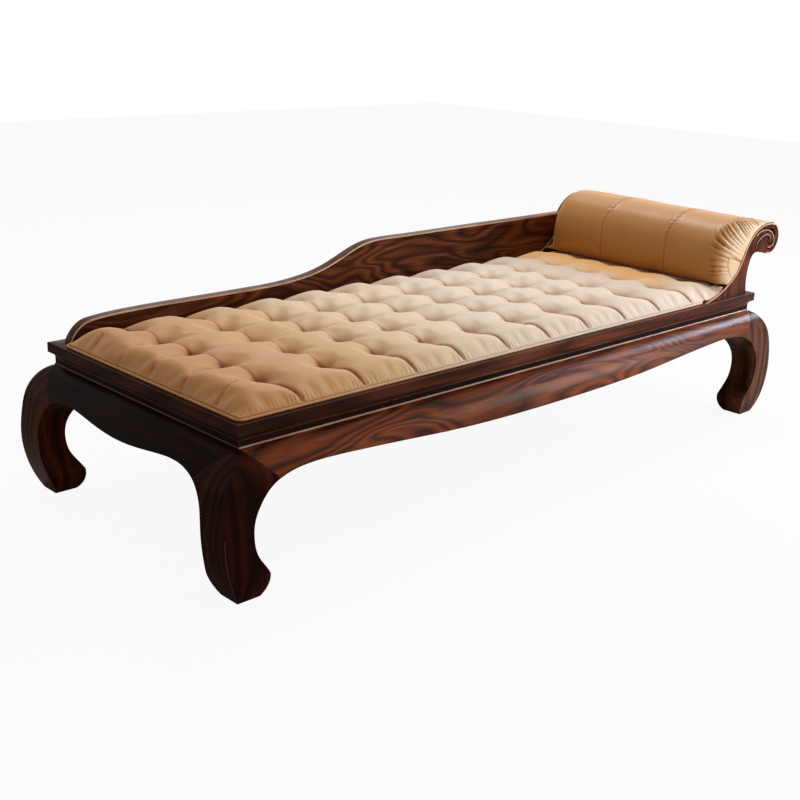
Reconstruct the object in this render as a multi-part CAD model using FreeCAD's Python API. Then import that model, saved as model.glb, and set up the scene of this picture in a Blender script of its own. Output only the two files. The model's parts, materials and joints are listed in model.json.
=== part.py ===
import FreeCAD, Part
import math
import os

# Luohan daybed in dark rosewood: four bulging hoof legs and swelling aprons carry a mitred seat frame,
# with a shaped backboard along one side, an S-scroll headrest at one end, a tufted mattress and a bolster.
# Millimetres, +Z up, +X to the headrest, +Y to the backboard. While it is built, X = 0 and Y = 0 lie at the
# middle of the seat frame; each piece is then moved along X so that the origin lies under the middle.

# Seat frame
seat_length = 2000.0
seat_depth = 800.0
seat_height = 392.0
frame_thickness = 40.0
fascia_height = 25.0
rail_width = 95.0
arris_radius = 2.0
cove_step = 3.0
groove_depth = 10.0
groove_height = 8.0
board_thickness = 20.0
board_count = 4
lap_width = 7.0
batten_count = 5
batten_width = 45.0
batten_height = 27.0
batten_tenon_length = 20.0
batten_tenon_width = 25.0
batten_tenon_height = 12.0

# Waist between seat frame and aprons
waist_height = 18.0
waist_inset = 13.0
waist_thickness = 14.0
waist_bead_radius = 2.2

# Legs
front_bulge = 42.0
end_bulge = 66.0
shoulder_inset = 10.0
foot_outer = 22.0
foot_inner = 38.0
toe_reach = 57.0
toe_height = 56.0
arch_reach = 170.0
arch_drop = 54.0
post_width = 53.0
post_drop = 66.0
leg_tenon_inset = 11.0
mitre_start = 14.0
mitre_run = 77.0
mitre_drop = 71.0

# Aprons
front_belly_drop = 86.0
side_belly_drop = 74.0
side_arch_drop = 57.0
apron_back_slope = 19.0

# Joints of the seat frame corners
corner_tenon_near = 15.0
corner_tenon_far = 75.0
corner_tenon_inset = 35.0
corner_tenon_height = 12.0
corner_tenon_drop = 12.0
tenon_space = 4.0

# Backboard: heights over the seat, and its S-rise measured from the middle of the length
back_inset = 32.0
board_depth = 28.0
back_low_rise = 65.0
back_high_rise = 154.5
back_bead_width = 4.0
back_bead_proud = 2.0
rise_start = -340.0
rise_end = 60.0

# Headrest: heights over the seat, and places back from or out over the headrest end of the seat frame
cheek_inset = 12.0
cheek_depth = 28.0
cheek_toe_back = 265.0
cheek_rise = 212.0
cheek_crest_out = 37.0
scroll_out = 74.0
scroll_rise = 163.0
scroll_radius = 49.0
scroll_groove_width = 5.0
scroll_groove_depth = 3.0
scroll_groove_inset = 10.0
scroll_groove_end = 14.0
scroll_start_angle = 210.0
scroll_turn = 400.0
scroll_points = 14
neck_back = 35.0
neck_lean = 35.0
neck_rise = 127.0
cheek_bead_edge = 0.5
cheek_bead_width = 4.5
cheek_bead_proud = 2.0
panel_foot_back = 94.0
panel_thickness = 16.0
panel_lean = 94.0
panel_rise = 196.0
roll_inset = 9.0

# Loose tenons
loose_tenon_length = 40.0
loose_tenon_thickness = 10.0
loose_tenon_down = 15.0
loose_tenon_up = 18.0
loose_tenon_count = 4
cheek_tenon_up = 13.0
cheek_tenon_front_back = 152.0
cheek_tenon_front_length = 25.0
cheek_tenon_rear_back = 101.0
cheek_tenon_rear_length = 36.0

# Mattress: its edge inside the seat frame's, its gaps to the headrest, and heights over the seat
mattress_edge = 11.0
mattress_head_gap = 6.0
mattress_side_gap = 3.5
mattress_toe_gap = 2.0
welt_radius = 3.0
welt_gap = 0.4
corner_radius = 17.0
hollow_corner_radius = 6.0
tuft_columns = 11
foot_column = 151.0
head_column = 87.0
foot_bay_extra = 21.0
front_row = 124.0
back_row = 85.5
row_count = 5
tuft_rise = 42.0
pillow_rise = 58.0
edge_rise = 10.0
draw_in = 4.0
end_roll = 30.0

# Bolster
bolster_front_gap = 3.0
bolster_back_gap = 1.0
bolster_depth = 98.0
bolster_crown = 32.0
bolster_heel = 54.0
bolster_taper = 10.0
bolster_gather = 88.0
bolster_tip_out = 14.0
bolster_tip_over = 5.0
bolster_end_thickness = 3.0

# Clearances
fit_gap = 0.2
soft_gap = 0.4
overrun = 60.0

# Places and heights that follow from the sizes
half_length = seat_length / 2
half_depth = seat_depth / 2
frame_bottom = seat_height - frame_thickness
leg_height = frame_bottom - waist_height
board_bottom = seat_height - board_thickness
post_near = waist_inset + waist_thickness
post_far = post_near + post_width
post_foot_height = leg_height - post_drop
arch_height = leg_height - arch_drop
side_arch_height = leg_height - side_arch_drop
front_belly_height = leg_height - front_belly_drop
side_belly_height = leg_height - side_belly_drop
leg_tenon_height = frame_thickness - corner_tenon_drop - corner_tenon_height - tenon_space
board_face = half_depth - back_inset - board_depth
back_left_end = back_inset - half_length
back_low_height = seat_height + back_low_rise
back_high_height = seat_height + back_high_rise
cheek_face = cheek_inset - half_depth
cheek_toe_x = half_length - cheek_toe_back
cheek_crest_x = half_length + cheek_crest_out
cheek_crest_height = seat_height + cheek_rise
scroll_x = half_length + scroll_out
scroll_z = seat_height + scroll_rise
scroll_reach = scroll_x + scroll_radius
scroll_groove_start = scroll_radius - scroll_groove_inset
neck_x = half_length - neck_back
neck_notch_x = neck_x + neck_lean
neck_notch_z = seat_height + neck_rise
panel_foot_x = half_length - panel_foot_back
panel_top_x = panel_foot_x + panel_lean
panel_top_z = seat_height + panel_rise
roll_radius = scroll_radius - roll_inset
cheek_tenon_front_x = half_length - cheek_tenon_front_back
cheek_tenon_rear_x = half_length - cheek_tenon_rear_back
bedding_height = seat_height + soft_gap
mattress_foot_end = mattress_edge - half_length
mattress_head_end = panel_foot_x - mattress_head_gap
mattress_front = mattress_edge - half_depth
mattress_back = board_face - mattress_side_gap
mattress_corner_x = cheek_toe_x - mattress_toe_gap
mattress_corner_y = cheek_face + cheek_depth + mattress_side_gap
tuft_first_x = mattress_foot_end + foot_column
tuft_last_x = mattress_head_end - head_column
tuft_pitch = (tuft_last_x - tuft_first_x - foot_bay_extra) / (tuft_columns - 1)
first_row_y = mattress_front + front_row
row_pitch = (mattress_back - back_row - first_row_y) / (row_count - 1)
tuft_height = seat_height + tuft_rise
pillow_height = seat_height + pillow_rise
edge_height = seat_height + edge_rise
bolster_front = cheek_face + cheek_depth + cheek_bead_proud + bolster_front_gap + bolster_end_thickness
bolster_back = board_face - cheek_bead_proud - bolster_back_gap - bolster_end_thickness
bolster_left = panel_foot_x - bolster_depth
bolster_low = tuft_height + soft_gap
bolster_top = scroll_z + roll_radius + bolster_crown
bolster_tip_x = scroll_x + bolster_tip_out
bolster_tip_height = scroll_z + roll_radius + bolster_tip_over
middle_x = (scroll_reach - half_length - end_bulge) / 2

# Leg and apron outline, outer side: shares of the bulge outwards, and of the leg height
front_outer_shares = ((0.214, 0.964), (0.571, 0.904), (0.81, 0.811), (0.952, 0.659), (1.0, 0.479),
                      (0.976, 0.299), (0.857, 0.144))
end_outer_shares = ((0.167, 0.964), (0.455, 0.904), (0.727, 0.811), (0.909, 0.659), (1.0, 0.479),
                    (0.909, 0.299), (0.68, 0.144))
# Toe: shares of its reach and of its height
toe_shares = ((0.88, 0.30), (1.0, 0.76), (0.985, 1.0))
# Inner side from the toe up into the arch: shares of the arch's reach and height
front_shin_shares = ((0.212, 0.304), (0.118, 0.393), (0.062, 0.536), (0.082, 0.679), (0.176, 0.793),
                     (0.335, 0.896), (0.60, 0.968))
side_shin_shares = ((0.294, 0.307), (0.276, 0.404), (0.271, 0.541), (0.294, 0.686), (0.353, 0.801),
                    (0.482, 0.906), (0.694, 0.972))
# Belly of an apron: shares of the way from the arch to the middle, and of the drop from arch to belly
front_belly_shares = ((0.13, 0.07), (0.30, 0.33), (0.52, 0.72), (0.76, 0.95))
side_belly_shares = ((0.25, 0.17), (0.60, 0.70))

# Backboard, rounded foot end: shares of the low height over the seat, along and up
foot_round_shares = ((0.0, 0.10), (0.20, 0.42), (0.44, 0.655), (0.68, 0.795), (1.1, 0.885), (1.55, 0.93),
                     (2.3, 0.97))
# S-rise: shares of the way along, and of the way up from the low to the high height
rise_shares = ((-0.20, 0.0), (0.0, 0.01), (0.22, 0.074), (0.40, 0.20), (0.50, 0.315), (0.60, 0.47),
               (0.70, 0.655), (0.80, 0.825), (0.90, 0.94), (1.0, 0.99), (1.2, 1.0))

# Cheek, inner edge from toe to crest: shares of the way along, and of the way up
cheek_inner_shares = ((0.0, 0.0), (0.09, 0.035), (0.228, 0.092), (0.394, 0.203), (0.517, 0.331),
                      (0.603, 0.486), (0.666, 0.67), (0.765, 0.849), (0.877, 0.953), (1.0, 1.0))
# Directions from the scroll's centre in which the bead runs round it, in degrees
bead_angles = (90, 60, 30, 0, -30, -60, -90, -110)
# Cheek, outer edge of the neck: shares of the way from the foot to the notch
cheek_neck_shares = ((-0.20, 0.35), (-0.06, 0.69), (0.31, 0.92))
# Panel, front face from the foot to the top: shares of the way along and up
panel_shares = ((0.0, 0.0), (0.02, 0.245), (0.095, 0.398), (0.213, 0.551), (0.415, 0.735), (0.713, 0.913),
                (1.0, 1.0))
# Mattress, from an edge to the row of tufts next to it: shares of the way, of the crease's rise over the edge
# and of the pillow's rise over the edge
front_edge_shares = ((0.0, 0.0, 0.06), (0.10, 0.27, 0.36), (0.28, 0.53, 0.68), (0.60, 0.71, 0.91))
back_edge_shares = ((0.50, 0.68, 0.89), (0.16, 0.50, 0.64), (0.0, 0.0, 0.06))
# Dip of the pillows in line with the tufts, rise of the creases between tufts, and shoulders at both ends
row_dip_share = 0.40
crease_rise_share = 0.40
foot_shoulder_share = 0.80
head_shoulder_share = 0.90
# Front of the roll where it runs down to the panel
roll_front_share = 0.79
# Bolster's outer skin from its heel over the front face: shares of the width to the tip, and of the height
bolster_skin_shares = ((0.064, 0.057), (0.0, 0.224), (0.0, 0.443), (0.05, 0.693), (0.171, 0.885),
                       (0.346, 0.984), (0.543, 1.0), (0.739, 0.958), (0.90, 0.90))
# Fullness of the bolster from an end inwards: shares of the gathered length, and of the full thickness
gather_shares = ((0.0, 0.12), (0.15, 0.28), (0.40, 0.54), (0.70, 0.82), (0.90, 0.96), (1.05, 1.0), (1.6, 1.0))


def vector(x, y, z):
    return FreeCAD.Vector(x, y, z)


def save(name, shape):
    shape = shape.copy()
    shape.translate(vector(-middle_x, 0, 0))
    shape.exportStep("parts/" + name + ".step")


def smooth(points):
    curve = Part.BSplineCurve()
    curve.interpolate(points)
    return curve.toShape()


def straight(start, end):
    return Part.LineSegment(start, end).toShape()


def bow(start, middle, end):
    return Part.Arc(start, middle, end).toShape()


def face_of(edges):
    return Part.Face(Part.Wire(Part.__sortEdges__(edges)))


def band(one, other):
    """Face between two smooth lines of points."""
    return face_of([smooth(one), straight(one[-1], other[-1]), smooth(other), straight(other[0], one[0])])


def block(low, high):
    size = high - low
    return Part.makeBox(size.x, size.y, size.z, low)


def flip_x(shape):
    return shape.mirror(vector(0, 0, 0), vector(1, 0, 0))


def flip_y(shape):
    return shape.mirror(vector(0, 0, 0), vector(0, 1, 0))


# Corner geometry: u runs inwards from the foot end, v inwards from the front edge

def corner(u, v, z):
    return vector(u - half_length, v - half_depth, z)


def corner_block(low, high, top, bottom):
    return block(corner(low, low, bottom), corner(high, high, top))


def mitre_prism(keeps_long):
    """Space past the 45 degree mitre at the front foot corner, seen from a long or a short member."""
    reach = rail_width + overrun
    tips = [(-overrun, -overrun), (reach, reach)]
    tips.append((-overrun, reach) if keeps_long else (reach, -overrun))
    points = [corner(u, v, -overrun) for u, v in tips]
    face = Part.Face(Part.makePolygon(points + points[:1]))
    return face.extrude(vector(0, 0, seat_height + 2 * overrun))


def mitred_long(blank):
    prism = mitre_prism(True)
    return blank.cut(prism).cut(flip_x(prism))


def mitred_short(blank):
    prism = mitre_prism(False)
    return blank.cut(prism).cut(flip_y(prism))


# Outlines of the underframe

def outer_points(bulge, shares):
    points = [(-shoulder_inset, leg_height)]
    points += [(bulge * out, leg_height * up) for out, up in shares]
    return points + [(foot_outer, 0)]


def front_outer():
    return outer_points(front_bulge, front_outer_shares)


def end_outer():
    return outer_points(end_bulge, end_outer_shares)


def shin_points(arch, shares):
    return [(arch_reach * along, arch * up) for along, up in shares]


def toe_points():
    return [(foot_inner, 0)] + [(toe_reach * along, toe_height * up) for along, up in toe_shares]


def belly_points(half_span, arch, belly, shares):
    run = half_span - arch_reach
    drop = arch - belly
    return [(arch_reach, arch)] + [(arch_reach + run * along, arch - drop * down) for along, down in shares]


def elevation(half_span, outline, half_arch, belly, place):
    """Whole outline of one side: leg, apron and leg. place turns (distance from the middle, z) to a point."""
    edges = []
    for side in (-1, 1):
        outer = [place(side * (half_span + out), z) for out, z in outline]
        toe = [place(side * (half_span - u), z) for u, z in toe_points()]
        edges += [smooth(outer), smooth(toe), straight(outer[-1], toe[0])]
    tip = toe_points()[-1]
    left = [place(u - half_span, z) for u, z in [tip] + half_arch]
    right = [place(half_span - u, z) for u, z in reversed([tip] + half_arch)]
    edges.append(smooth(left + [place(0, belly)] + right))
    top_left = place(shoulder_inset - half_span, leg_height)
    top_right = place(half_span - shoulder_inset, leg_height)
    edges.append(straight(top_left, top_right))
    return face_of(edges)


def front_elevation():
    back = -half_depth - front_bulge - overrun
    half_arch = shin_points(arch_height, front_shin_shares)
    half_arch += belly_points(half_length, arch_height, front_belly_height, front_belly_shares)
    face = elevation(half_length, end_outer(), half_arch, front_belly_height, lambda x, z: vector(x, back, z))
    return face.extrude(vector(0, -back, 0))


def side_elevation():
    back = -half_length - end_bulge - overrun
    half_arch = shin_points(side_arch_height, side_shin_shares)
    half_arch += belly_points(half_depth, side_arch_height, side_belly_height, side_belly_shares)
    face = elevation(half_depth, front_outer(), half_arch, side_belly_height, lambda y, z: vector(back, y, z))
    return face.extrude(vector(-back, 0, 0))


def shoulder_wedge():
    """Leg side of the slanting shoulder between leg and front apron, which runs down from the corner."""
    slope = mitre_run / mitre_drop
    reach = end_bulge + overrun
    points = [corner(-reach, -reach, leg_height), corner(mitre_start, -reach, leg_height),
              corner(mitre_start + slope * leg_height, -reach, 0), corner(-reach, -reach, 0)]
    face = Part.Face(Part.makePolygon(points + points[:1]))
    return face.extrude(vector(0, arch_reach + reach, 0))


def turn_corner(shape):
    """Swap u and v at the front foot corner: a mirror in the plane of the mitre."""
    return shape.mirror(corner(0, 0, 0), vector(1, -1, 0))


def leg_tenon(gap):
    low = post_near + leg_tenon_inset - gap
    high = post_far - leg_tenon_inset + gap
    return corner_block(low, high, frame_bottom + leg_tenon_height + gap, frame_bottom - gap)


def make_leg():
    wedge = shoulder_wedge()
    foot = front_elevation().common(wedge).common(side_elevation().common(turn_corner(wedge)))
    post = corner_block(post_near, post_far, frame_bottom, post_foot_height)
    leg = foot.fuse([post, leg_tenon(0)]).removeSplitter()
    return leg.Solids[0]


def apron_blank(outline, place, along):
    """Apron section, swelling outside and sloping inside, drawn along the whole side."""
    kept = [(out, z) for out, z in outline if z > side_belly_height / 2]
    outer = [place(-out, z) for out, z in kept]
    low_out = outer[-1]
    low = place(post_near - apron_back_slope, kept[-1][1])
    high = place(post_near, leg_height)
    face = face_of([smooth(outer), straight(low_out, low), straight(low, high), straight(high, outer[0])])
    return face.extrude(along)


def make_front_apron():
    start = -half_length - end_bulge
    along = vector(-2 * start, 0, 0)
    blank = apron_blank(front_outer(), lambda v, z: vector(start, v - half_depth, z), along)
    wedge = shoulder_wedge()
    return mitred_long(blank.common(front_elevation()).cut(wedge).cut(flip_x(wedge))).Solids[0]


def make_side_apron():
    start = -half_depth - front_bulge
    along = vector(0, -2 * start, 0)
    blank = apron_blank(end_outer(), lambda u, z: vector(u - half_length, start, z), along)
    wedge = turn_corner(shoulder_wedge())
    return mitred_short(blank.common(side_elevation()).cut(wedge).cut(flip_y(wedge))).Solids[0]


def make_underframe():
    leg = make_leg()
    save("leg_front_left", leg)
    save("leg_front_right", flip_x(leg))
    save("leg_back_left", flip_y(leg))
    save("leg_back_right", flip_x(flip_y(leg)))
    front = make_front_apron()
    save("apron_front", front)
    save("apron_back", flip_y(front))
    side = make_side_apron()
    save("apron_left", side)
    save("apron_right", flip_x(side))


# Waist strips with a thin bead at the foot

def waist_face(place):
    bead_top = leg_height + 2 * waist_bead_radius
    foot = place(waist_inset, leg_height)
    shoulder = place(waist_inset, bead_top)
    nose = place(waist_inset - waist_bead_radius, leg_height + waist_bead_radius)
    top = place(waist_inset, frame_bottom)
    back_top = place(post_near, frame_bottom)
    back_foot = place(post_near, leg_height)
    return face_of([bow(foot, nose, shoulder), straight(shoulder, top), straight(top, back_top),
                    straight(back_top, back_foot), straight(back_foot, foot)])


def make_waist():
    start = corner(0, 0, 0)
    front = waist_face(lambda v, z: vector(start.x, start.y + v, z)).extrude(vector(seat_length, 0, 0))
    front = mitred_long(front)
    save("waist_front", front)
    save("waist_back", flip_y(front))
    side = waist_face(lambda u, z: vector(start.x + u, start.y, z)).extrude(vector(0, seat_depth, 0))
    side = mitred_short(side)
    save("waist_left", side)
    save("waist_right", flip_x(side))


# Seat frame members: flat fascia, cove below it, groove inside for the planks

def member_face(place):
    fascia_foot = seat_height - fascia_height
    step = fascia_foot - cove_step / 2
    cove_width = waist_inset - cove_step
    cove_fall = step - frame_bottom
    turn = math.sin(math.pi / 4)
    top_in = place(arris_radius, seat_height)
    side_top = place(0, seat_height - arris_radius)
    arris_middle = place(arris_radius * (1 - turn), seat_height - arris_radius * (1 - turn))
    side_foot = place(0, fascia_foot)
    cove_top = place(cove_step, step)
    cove_middle = place(cove_step + cove_width * turn, frame_bottom + cove_fall * turn)
    cove_foot = place(waist_inset, frame_bottom)
    groove_top = board_bottom + groove_height
    inner = [place(rail_width, frame_bottom), place(rail_width, board_bottom),
             place(rail_width - groove_depth, board_bottom), place(rail_width - groove_depth, groove_top),
             place(rail_width, groove_top), place(rail_width, seat_height)]
    edges = [bow(top_in, arris_middle, side_top), straight(side_top, side_foot)]
    edges += [straight(side_foot, cove_top), bow(cove_top, cove_middle, cove_foot)]
    edges.append(straight(cove_foot, inner[0]))
    edges += [straight(a, b) for a, b in zip(inner, inner[1:])]
    edges.append(straight(inner[-1], top_in))
    return face_of(edges)


def corner_tenon(gap):
    top = seat_height - corner_tenon_drop
    low = corner(corner_tenon_near - gap, corner_tenon_inset - gap, top - corner_tenon_height - gap)
    high = corner(corner_tenon_far + gap, corner_tenon_far + gap, top + gap)
    return block(low, high)


def all_corners(shape):
    return [shape, flip_x(shape), flip_y(shape), flip_x(flip_y(shape))]


def batten_places():
    pitch = (seat_length - 2 * rail_width) / batten_count
    return [pitch * (i - (batten_count - 1) / 2) for i in range(batten_count)]


def batten_tenon(x, side, gap):
    inner = half_depth - rail_width
    middle = (frame_bottom + board_bottom) / 2
    low = vector(x - batten_tenon_width / 2 - gap, inner - fit_gap, middle - batten_tenon_height / 2 - gap)
    high = vector(x + batten_tenon_width / 2 + gap, inner + batten_tenon_length + gap,
                  middle + batten_tenon_height / 2 + gap)
    tenon = block(low, high)
    return tenon if side > 0 else flip_y(tenon)


def backboard_tenon_places():
    pitch = (cheek_toe_x - back_left_end) / loose_tenon_count
    return [back_left_end + pitch * (i + 0.5) for i in range(loose_tenon_count)]


def loose_tenon(x, y, length, up, gap):
    half = loose_tenon_thickness / 2 + gap
    low = vector(x - length / 2 - gap, y - half, seat_height - loose_tenon_down - gap)
    high = vector(x + length / 2 + gap, y + half, seat_height + up + gap)
    return block(low, high)


def backboard_tenons(gap):
    y = board_face + board_depth / 2
    return [loose_tenon(x, y, loose_tenon_length, loose_tenon_up, gap) for x in backboard_tenon_places()]


def cheek_tenons(face, gap):
    y = face + cheek_depth / 2
    places = ((cheek_tenon_front_x, cheek_tenon_front_length), (cheek_tenon_rear_x, cheek_tenon_rear_length))
    return [loose_tenon(x, y, length, cheek_tenon_up, gap) for x, length in places]


def make_frame():
    start = corner(0, 0, 0)
    rail = member_face(lambda v, z: vector(start.x, start.y + v, z)).extrude(vector(seat_length, 0, 0))
    tongue = corner_tenon(0).common(mitre_prism(True))
    rail = mitred_long(rail).fuse([tongue, flip_x(tongue)]).removeSplitter()
    rail = rail.cut(all_corners(leg_tenon(fit_gap)))
    mortises = [batten_tenon(x, -1, fit_gap) for x in batten_places()]
    front = rail.cut(mortises).cut(cheek_tenons(cheek_face, fit_gap))
    back = flip_y(rail.cut(mortises))
    back = back.cut(backboard_tenons(fit_gap)).cut(cheek_tenons(board_face, fit_gap))
    save("frame_rail_front", front.Solids[0])
    save("frame_rail_back", back.Solids[0])
    end = member_face(lambda u, z: vector(start.x + u, start.y, z)).extrude(vector(0, seat_depth, 0))
    end = mitred_short(end).cut(all_corners(corner_tenon(fit_gap))).cut(all_corners(leg_tenon(fit_gap)))
    save("frame_end_left", end.Solids[0])
    save("frame_end_right", flip_x(end).Solids[0])


# Planks that lap over each other and float in the frame's groove, and the battens under them

def make_seat_boards():
    inner_x = half_length - rail_width
    inner_y = half_depth - rail_width
    width = 2 * inner_y / board_count
    tongue = groove_depth - 1.5 * fit_gap
    for i in range(board_count):
        low_y = -inner_y + i * width
        high_y = low_y + width
        body = block(vector(fit_gap - inner_x, low_y + fit_gap, board_bottom),
                     vector(inner_x - fit_gap, high_y - fit_gap, seat_height))
        tongue_low = low_y + lap_width + fit_gap if i else low_y - tongue
        tongue_high = high_y + lap_width - fit_gap if i < board_count - 1 else high_y + tongue
        tongue_top = board_bottom + groove_height - fit_gap
        lap = block(vector(-inner_x - tongue, tongue_low, board_bottom),
                    vector(inner_x + tongue, tongue_high, tongue_top))
        if i:
            rebate = block(vector(-half_length, low_y, board_bottom - overrun),
                           vector(half_length, low_y + lap_width + fit_gap, board_bottom + groove_height))
            body = body.cut(rebate)
        save("seat_board_" + str(i + 1), body.fuse(lap).removeSplitter().Solids[0])


def make_battens():
    inner = half_depth - rail_width
    for i, x in enumerate(batten_places()):
        body = block(vector(x - batten_width / 2, fit_gap - inner, board_bottom - batten_height),
                     vector(x + batten_width / 2, inner - fit_gap, board_bottom))
        tenons = [batten_tenon(x, side, 0) for side in (-1, 1)]
        save("seat_batten_" + str(i + 1), body.fuse(tenons).removeSplitter().Solids[0])


# Headrest: S-scroll cheeks, curved panel and rolled top rail

def cheek_inner_points(y, lift=0.0):
    run = cheek_crest_x - cheek_toe_x
    rise = cheek_crest_height - seat_height
    return [vector(cheek_toe_x + run * along - lift, y, seat_height + rise * up)
            for along, up in cheek_inner_shares]


def scroll_point(y, angle, radius):
    turn = math.radians(angle)
    return vector(scroll_x + radius * math.cos(turn), y, scroll_z + radius * math.sin(turn))


def cheek_face_at(y):
    inner = cheek_inner_points(y)
    crest = scroll_point(y, 90, scroll_radius)
    notch = vector(neck_notch_x, y, neck_notch_z)
    under = scroll_point(y, 230, scroll_radius)
    foot = vector(neck_x, y, seat_height)
    run = neck_notch_x - neck_x
    rise = neck_notch_z - seat_height
    neck = [vector(neck_x + run * along, y, seat_height + rise * up) for along, up in cheek_neck_shares]
    nadir = scroll_point(y, -90, scroll_radius)
    edges = [smooth(inner + [crest]), bow(crest, scroll_point(y, 0, scroll_radius), nadir),
             bow(nadir, scroll_point(y, -110, scroll_radius), under), straight(under, notch),
             smooth([foot] + neck + [notch]), straight(foot, inner[0])]
    return face_of(edges)


def cheek_edge_points(y, inset):
    """Line along a cheek's inner edge from the toe over the scroll, the inset away from the edge."""
    points = cheek_inner_points(y) + [scroll_point(y, angle, scroll_radius) for angle in bead_angles]
    moved = []
    for i, point in enumerate(points):
        before = points[max(i - 1, 0)]
        after = points[min(i + 1, len(points) - 1)]
        along = (after - before).normalize()
        moved.append(point + vector(along.z, 0, -along.x) * inset)
    first = points[1] - points[0]
    moved[0] = points[0] + vector(inset * first.Length / first.z, 0, 0)
    return moved


def cheek_bead(y, depth):
    """Raised band along the edge of a cheek, proud of both its faces."""
    outer = cheek_edge_points(y, cheek_bead_edge)
    inner = cheek_edge_points(y, cheek_bead_edge + cheek_bead_width)
    return band(outer, inner).extrude(vector(0, depth, 0))


def spiral_points(y, inset):
    """Points of the scroll's spiral, from the underside of the neck over the top and round to the inside."""
    points = []
    for i in range(scroll_points):
        share = i / (scroll_points - 1)
        radius = scroll_groove_start + (scroll_groove_end - scroll_groove_start) * share - inset
        points.append(scroll_point(y, scroll_start_angle - scroll_turn * share, radius))
    return points


def scroll_groove(y, depth):
    """Spiral groove cut in a scroll's face."""
    outer = spiral_points(y, 0)
    inner = spiral_points(y, scroll_groove_width)
    return band(outer, inner).extrude(vector(0, depth, 0))


def make_cheek(face):
    plate = cheek_face_at(face).extrude(vector(0, cheek_depth, 0))
    bead = cheek_bead(face - cheek_bead_proud, cheek_depth + 2 * cheek_bead_proud)
    cheek = plate.fuse(bead).removeSplitter()
    for start in (face - overrun, face + cheek_depth - scroll_groove_depth):
        cheek = cheek.cut(scroll_groove(start, overrun + scroll_groove_depth))
    return cheek.cut(cheek_tenons(face, fit_gap)).Solids[0]


def panel_points(y, back):
    run = panel_top_x - panel_foot_x
    rise = panel_top_z - seat_height
    points = [vector(panel_foot_x + run * along, y, seat_height + rise * up) for along, up in panel_shares]
    if not back:
        return points
    moved = []
    for i, point in enumerate(points):
        before = points[max(i - 1, 0)]
        after = points[min(i + 1, len(points) - 1)]
        along = (after - before).normalize()
        moved.append(point + vector(along.z, 0, -along.x) * panel_thickness)
    moved[0] = vector(panel_foot_x + panel_thickness, y, seat_height)
    return moved


def make_panel():
    y = cheek_face + cheek_depth
    return band(panel_points(y, False), panel_points(y, True)).extrude(vector(0, board_face - y, 0))


def make_roll():
    """Top rail: a round log whose front runs down in a curve to meet the panel."""
    y = cheek_face + cheek_depth
    front = panel_points(y, False)[-1]
    back = panel_points(y, True)[-1]
    crest = scroll_point(y, 90, roll_radius)
    under = scroll_point(y, 205, roll_radius)
    middle = vector((front.x + crest.x) / 2, y, front.z + (crest.z - front.z) * roll_front_share)
    face = face_of([bow(front, middle, crest), bow(crest, scroll_point(y, 0, roll_radius),
                    scroll_point(y, -80, roll_radius)),
                    bow(scroll_point(y, -80, roll_radius), scroll_point(y, -120, roll_radius), under),
                    straight(under, back), straight(back, front)])
    return face.extrude(vector(0, board_face - y, 0))


def make_headrest():
    save("headrest_cheek_front", make_cheek(cheek_face))
    save("headrest_cheek_rear", make_cheek(board_face))
    save("headrest_panel", make_panel())
    save("headrest_roll", make_roll())
    save("headrest_tenons", Part.makeCompound(cheek_tenons(cheek_face, 0) + cheek_tenons(board_face, 0)))


# Backboard: low at the foot end, S-rise to the headrest, butted to the rear cheek's curve

def backboard_top_points(y):
    low_rise = back_low_height - seat_height
    points = [vector(back_left_end + low_rise * along, y, seat_height + low_rise * up)
              for along, up in foot_round_shares]
    middle = (points[-1].x + rise_start) / 2
    points.append(vector(middle, y, back_low_height))
    step = back_high_height - back_low_height
    points += [vector(rise_start + (rise_end - rise_start) * along, y, back_low_height + step * up)
               for along, up in rise_shares]
    end = vector(cheek_inner_points(y)[6].x, y, back_high_height)
    points.append(vector((rise_end + end.x) / 2, y, back_high_height))
    return points + [end]


def make_backboard():
    y = board_face
    top = backboard_top_points(y)
    foot = vector(back_left_end, y, seat_height)
    far = vector(cheek_crest_x, y, back_high_height)
    corner_low = vector(cheek_crest_x, y, seat_height)
    face = face_of([straight(foot, top[0]), smooth(top), straight(top[-1], far), straight(far, corner_low),
                    straight(corner_low, foot)])
    board = face.extrude(vector(0, board_depth, 0))
    bead_line = [point - vector(0, back_bead_proud, 0) for point in top]
    inner_line = [point - vector(0, 0, back_bead_width) for point in bead_line]
    bead = band(bead_line, inner_line).extrude(vector(0, 2 * back_bead_proud, 0))
    board = board.fuse(bead)
    inner = cheek_inner_points(y - overrun, fit_gap)
    far_low = vector(cheek_crest_x + overrun, y - overrun, seat_height)
    far_high = vector(cheek_crest_x + overrun, y - overrun, inner[-1].z)
    beyond = face_of([smooth(inner), straight(inner[-1], far_high), straight(far_high, far_low),
                      straight(far_low, inner[0])]).extrude(vector(0, board_depth + 2 * overrun, 0))
    board = board.cut(beyond).cut(backboard_tenons(fit_gap)).removeSplitter()
    save("backboard", max(board.Solids, key=lambda solid: solid.Volume))
    save("backboard_tenons", Part.makeCompound(backboard_tenons(0)))


# Mattress: a crowned form in bays between tufts, lofted from the front edge to the back

def tuft_xs():
    xs = [tuft_last_x - tuft_pitch * i for i in range(tuft_columns)]
    xs[-1] -= foot_bay_extra
    return sorted(xs)


def row_ys():
    return [first_row_y + row_pitch * i for i in range(row_count)]


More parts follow.
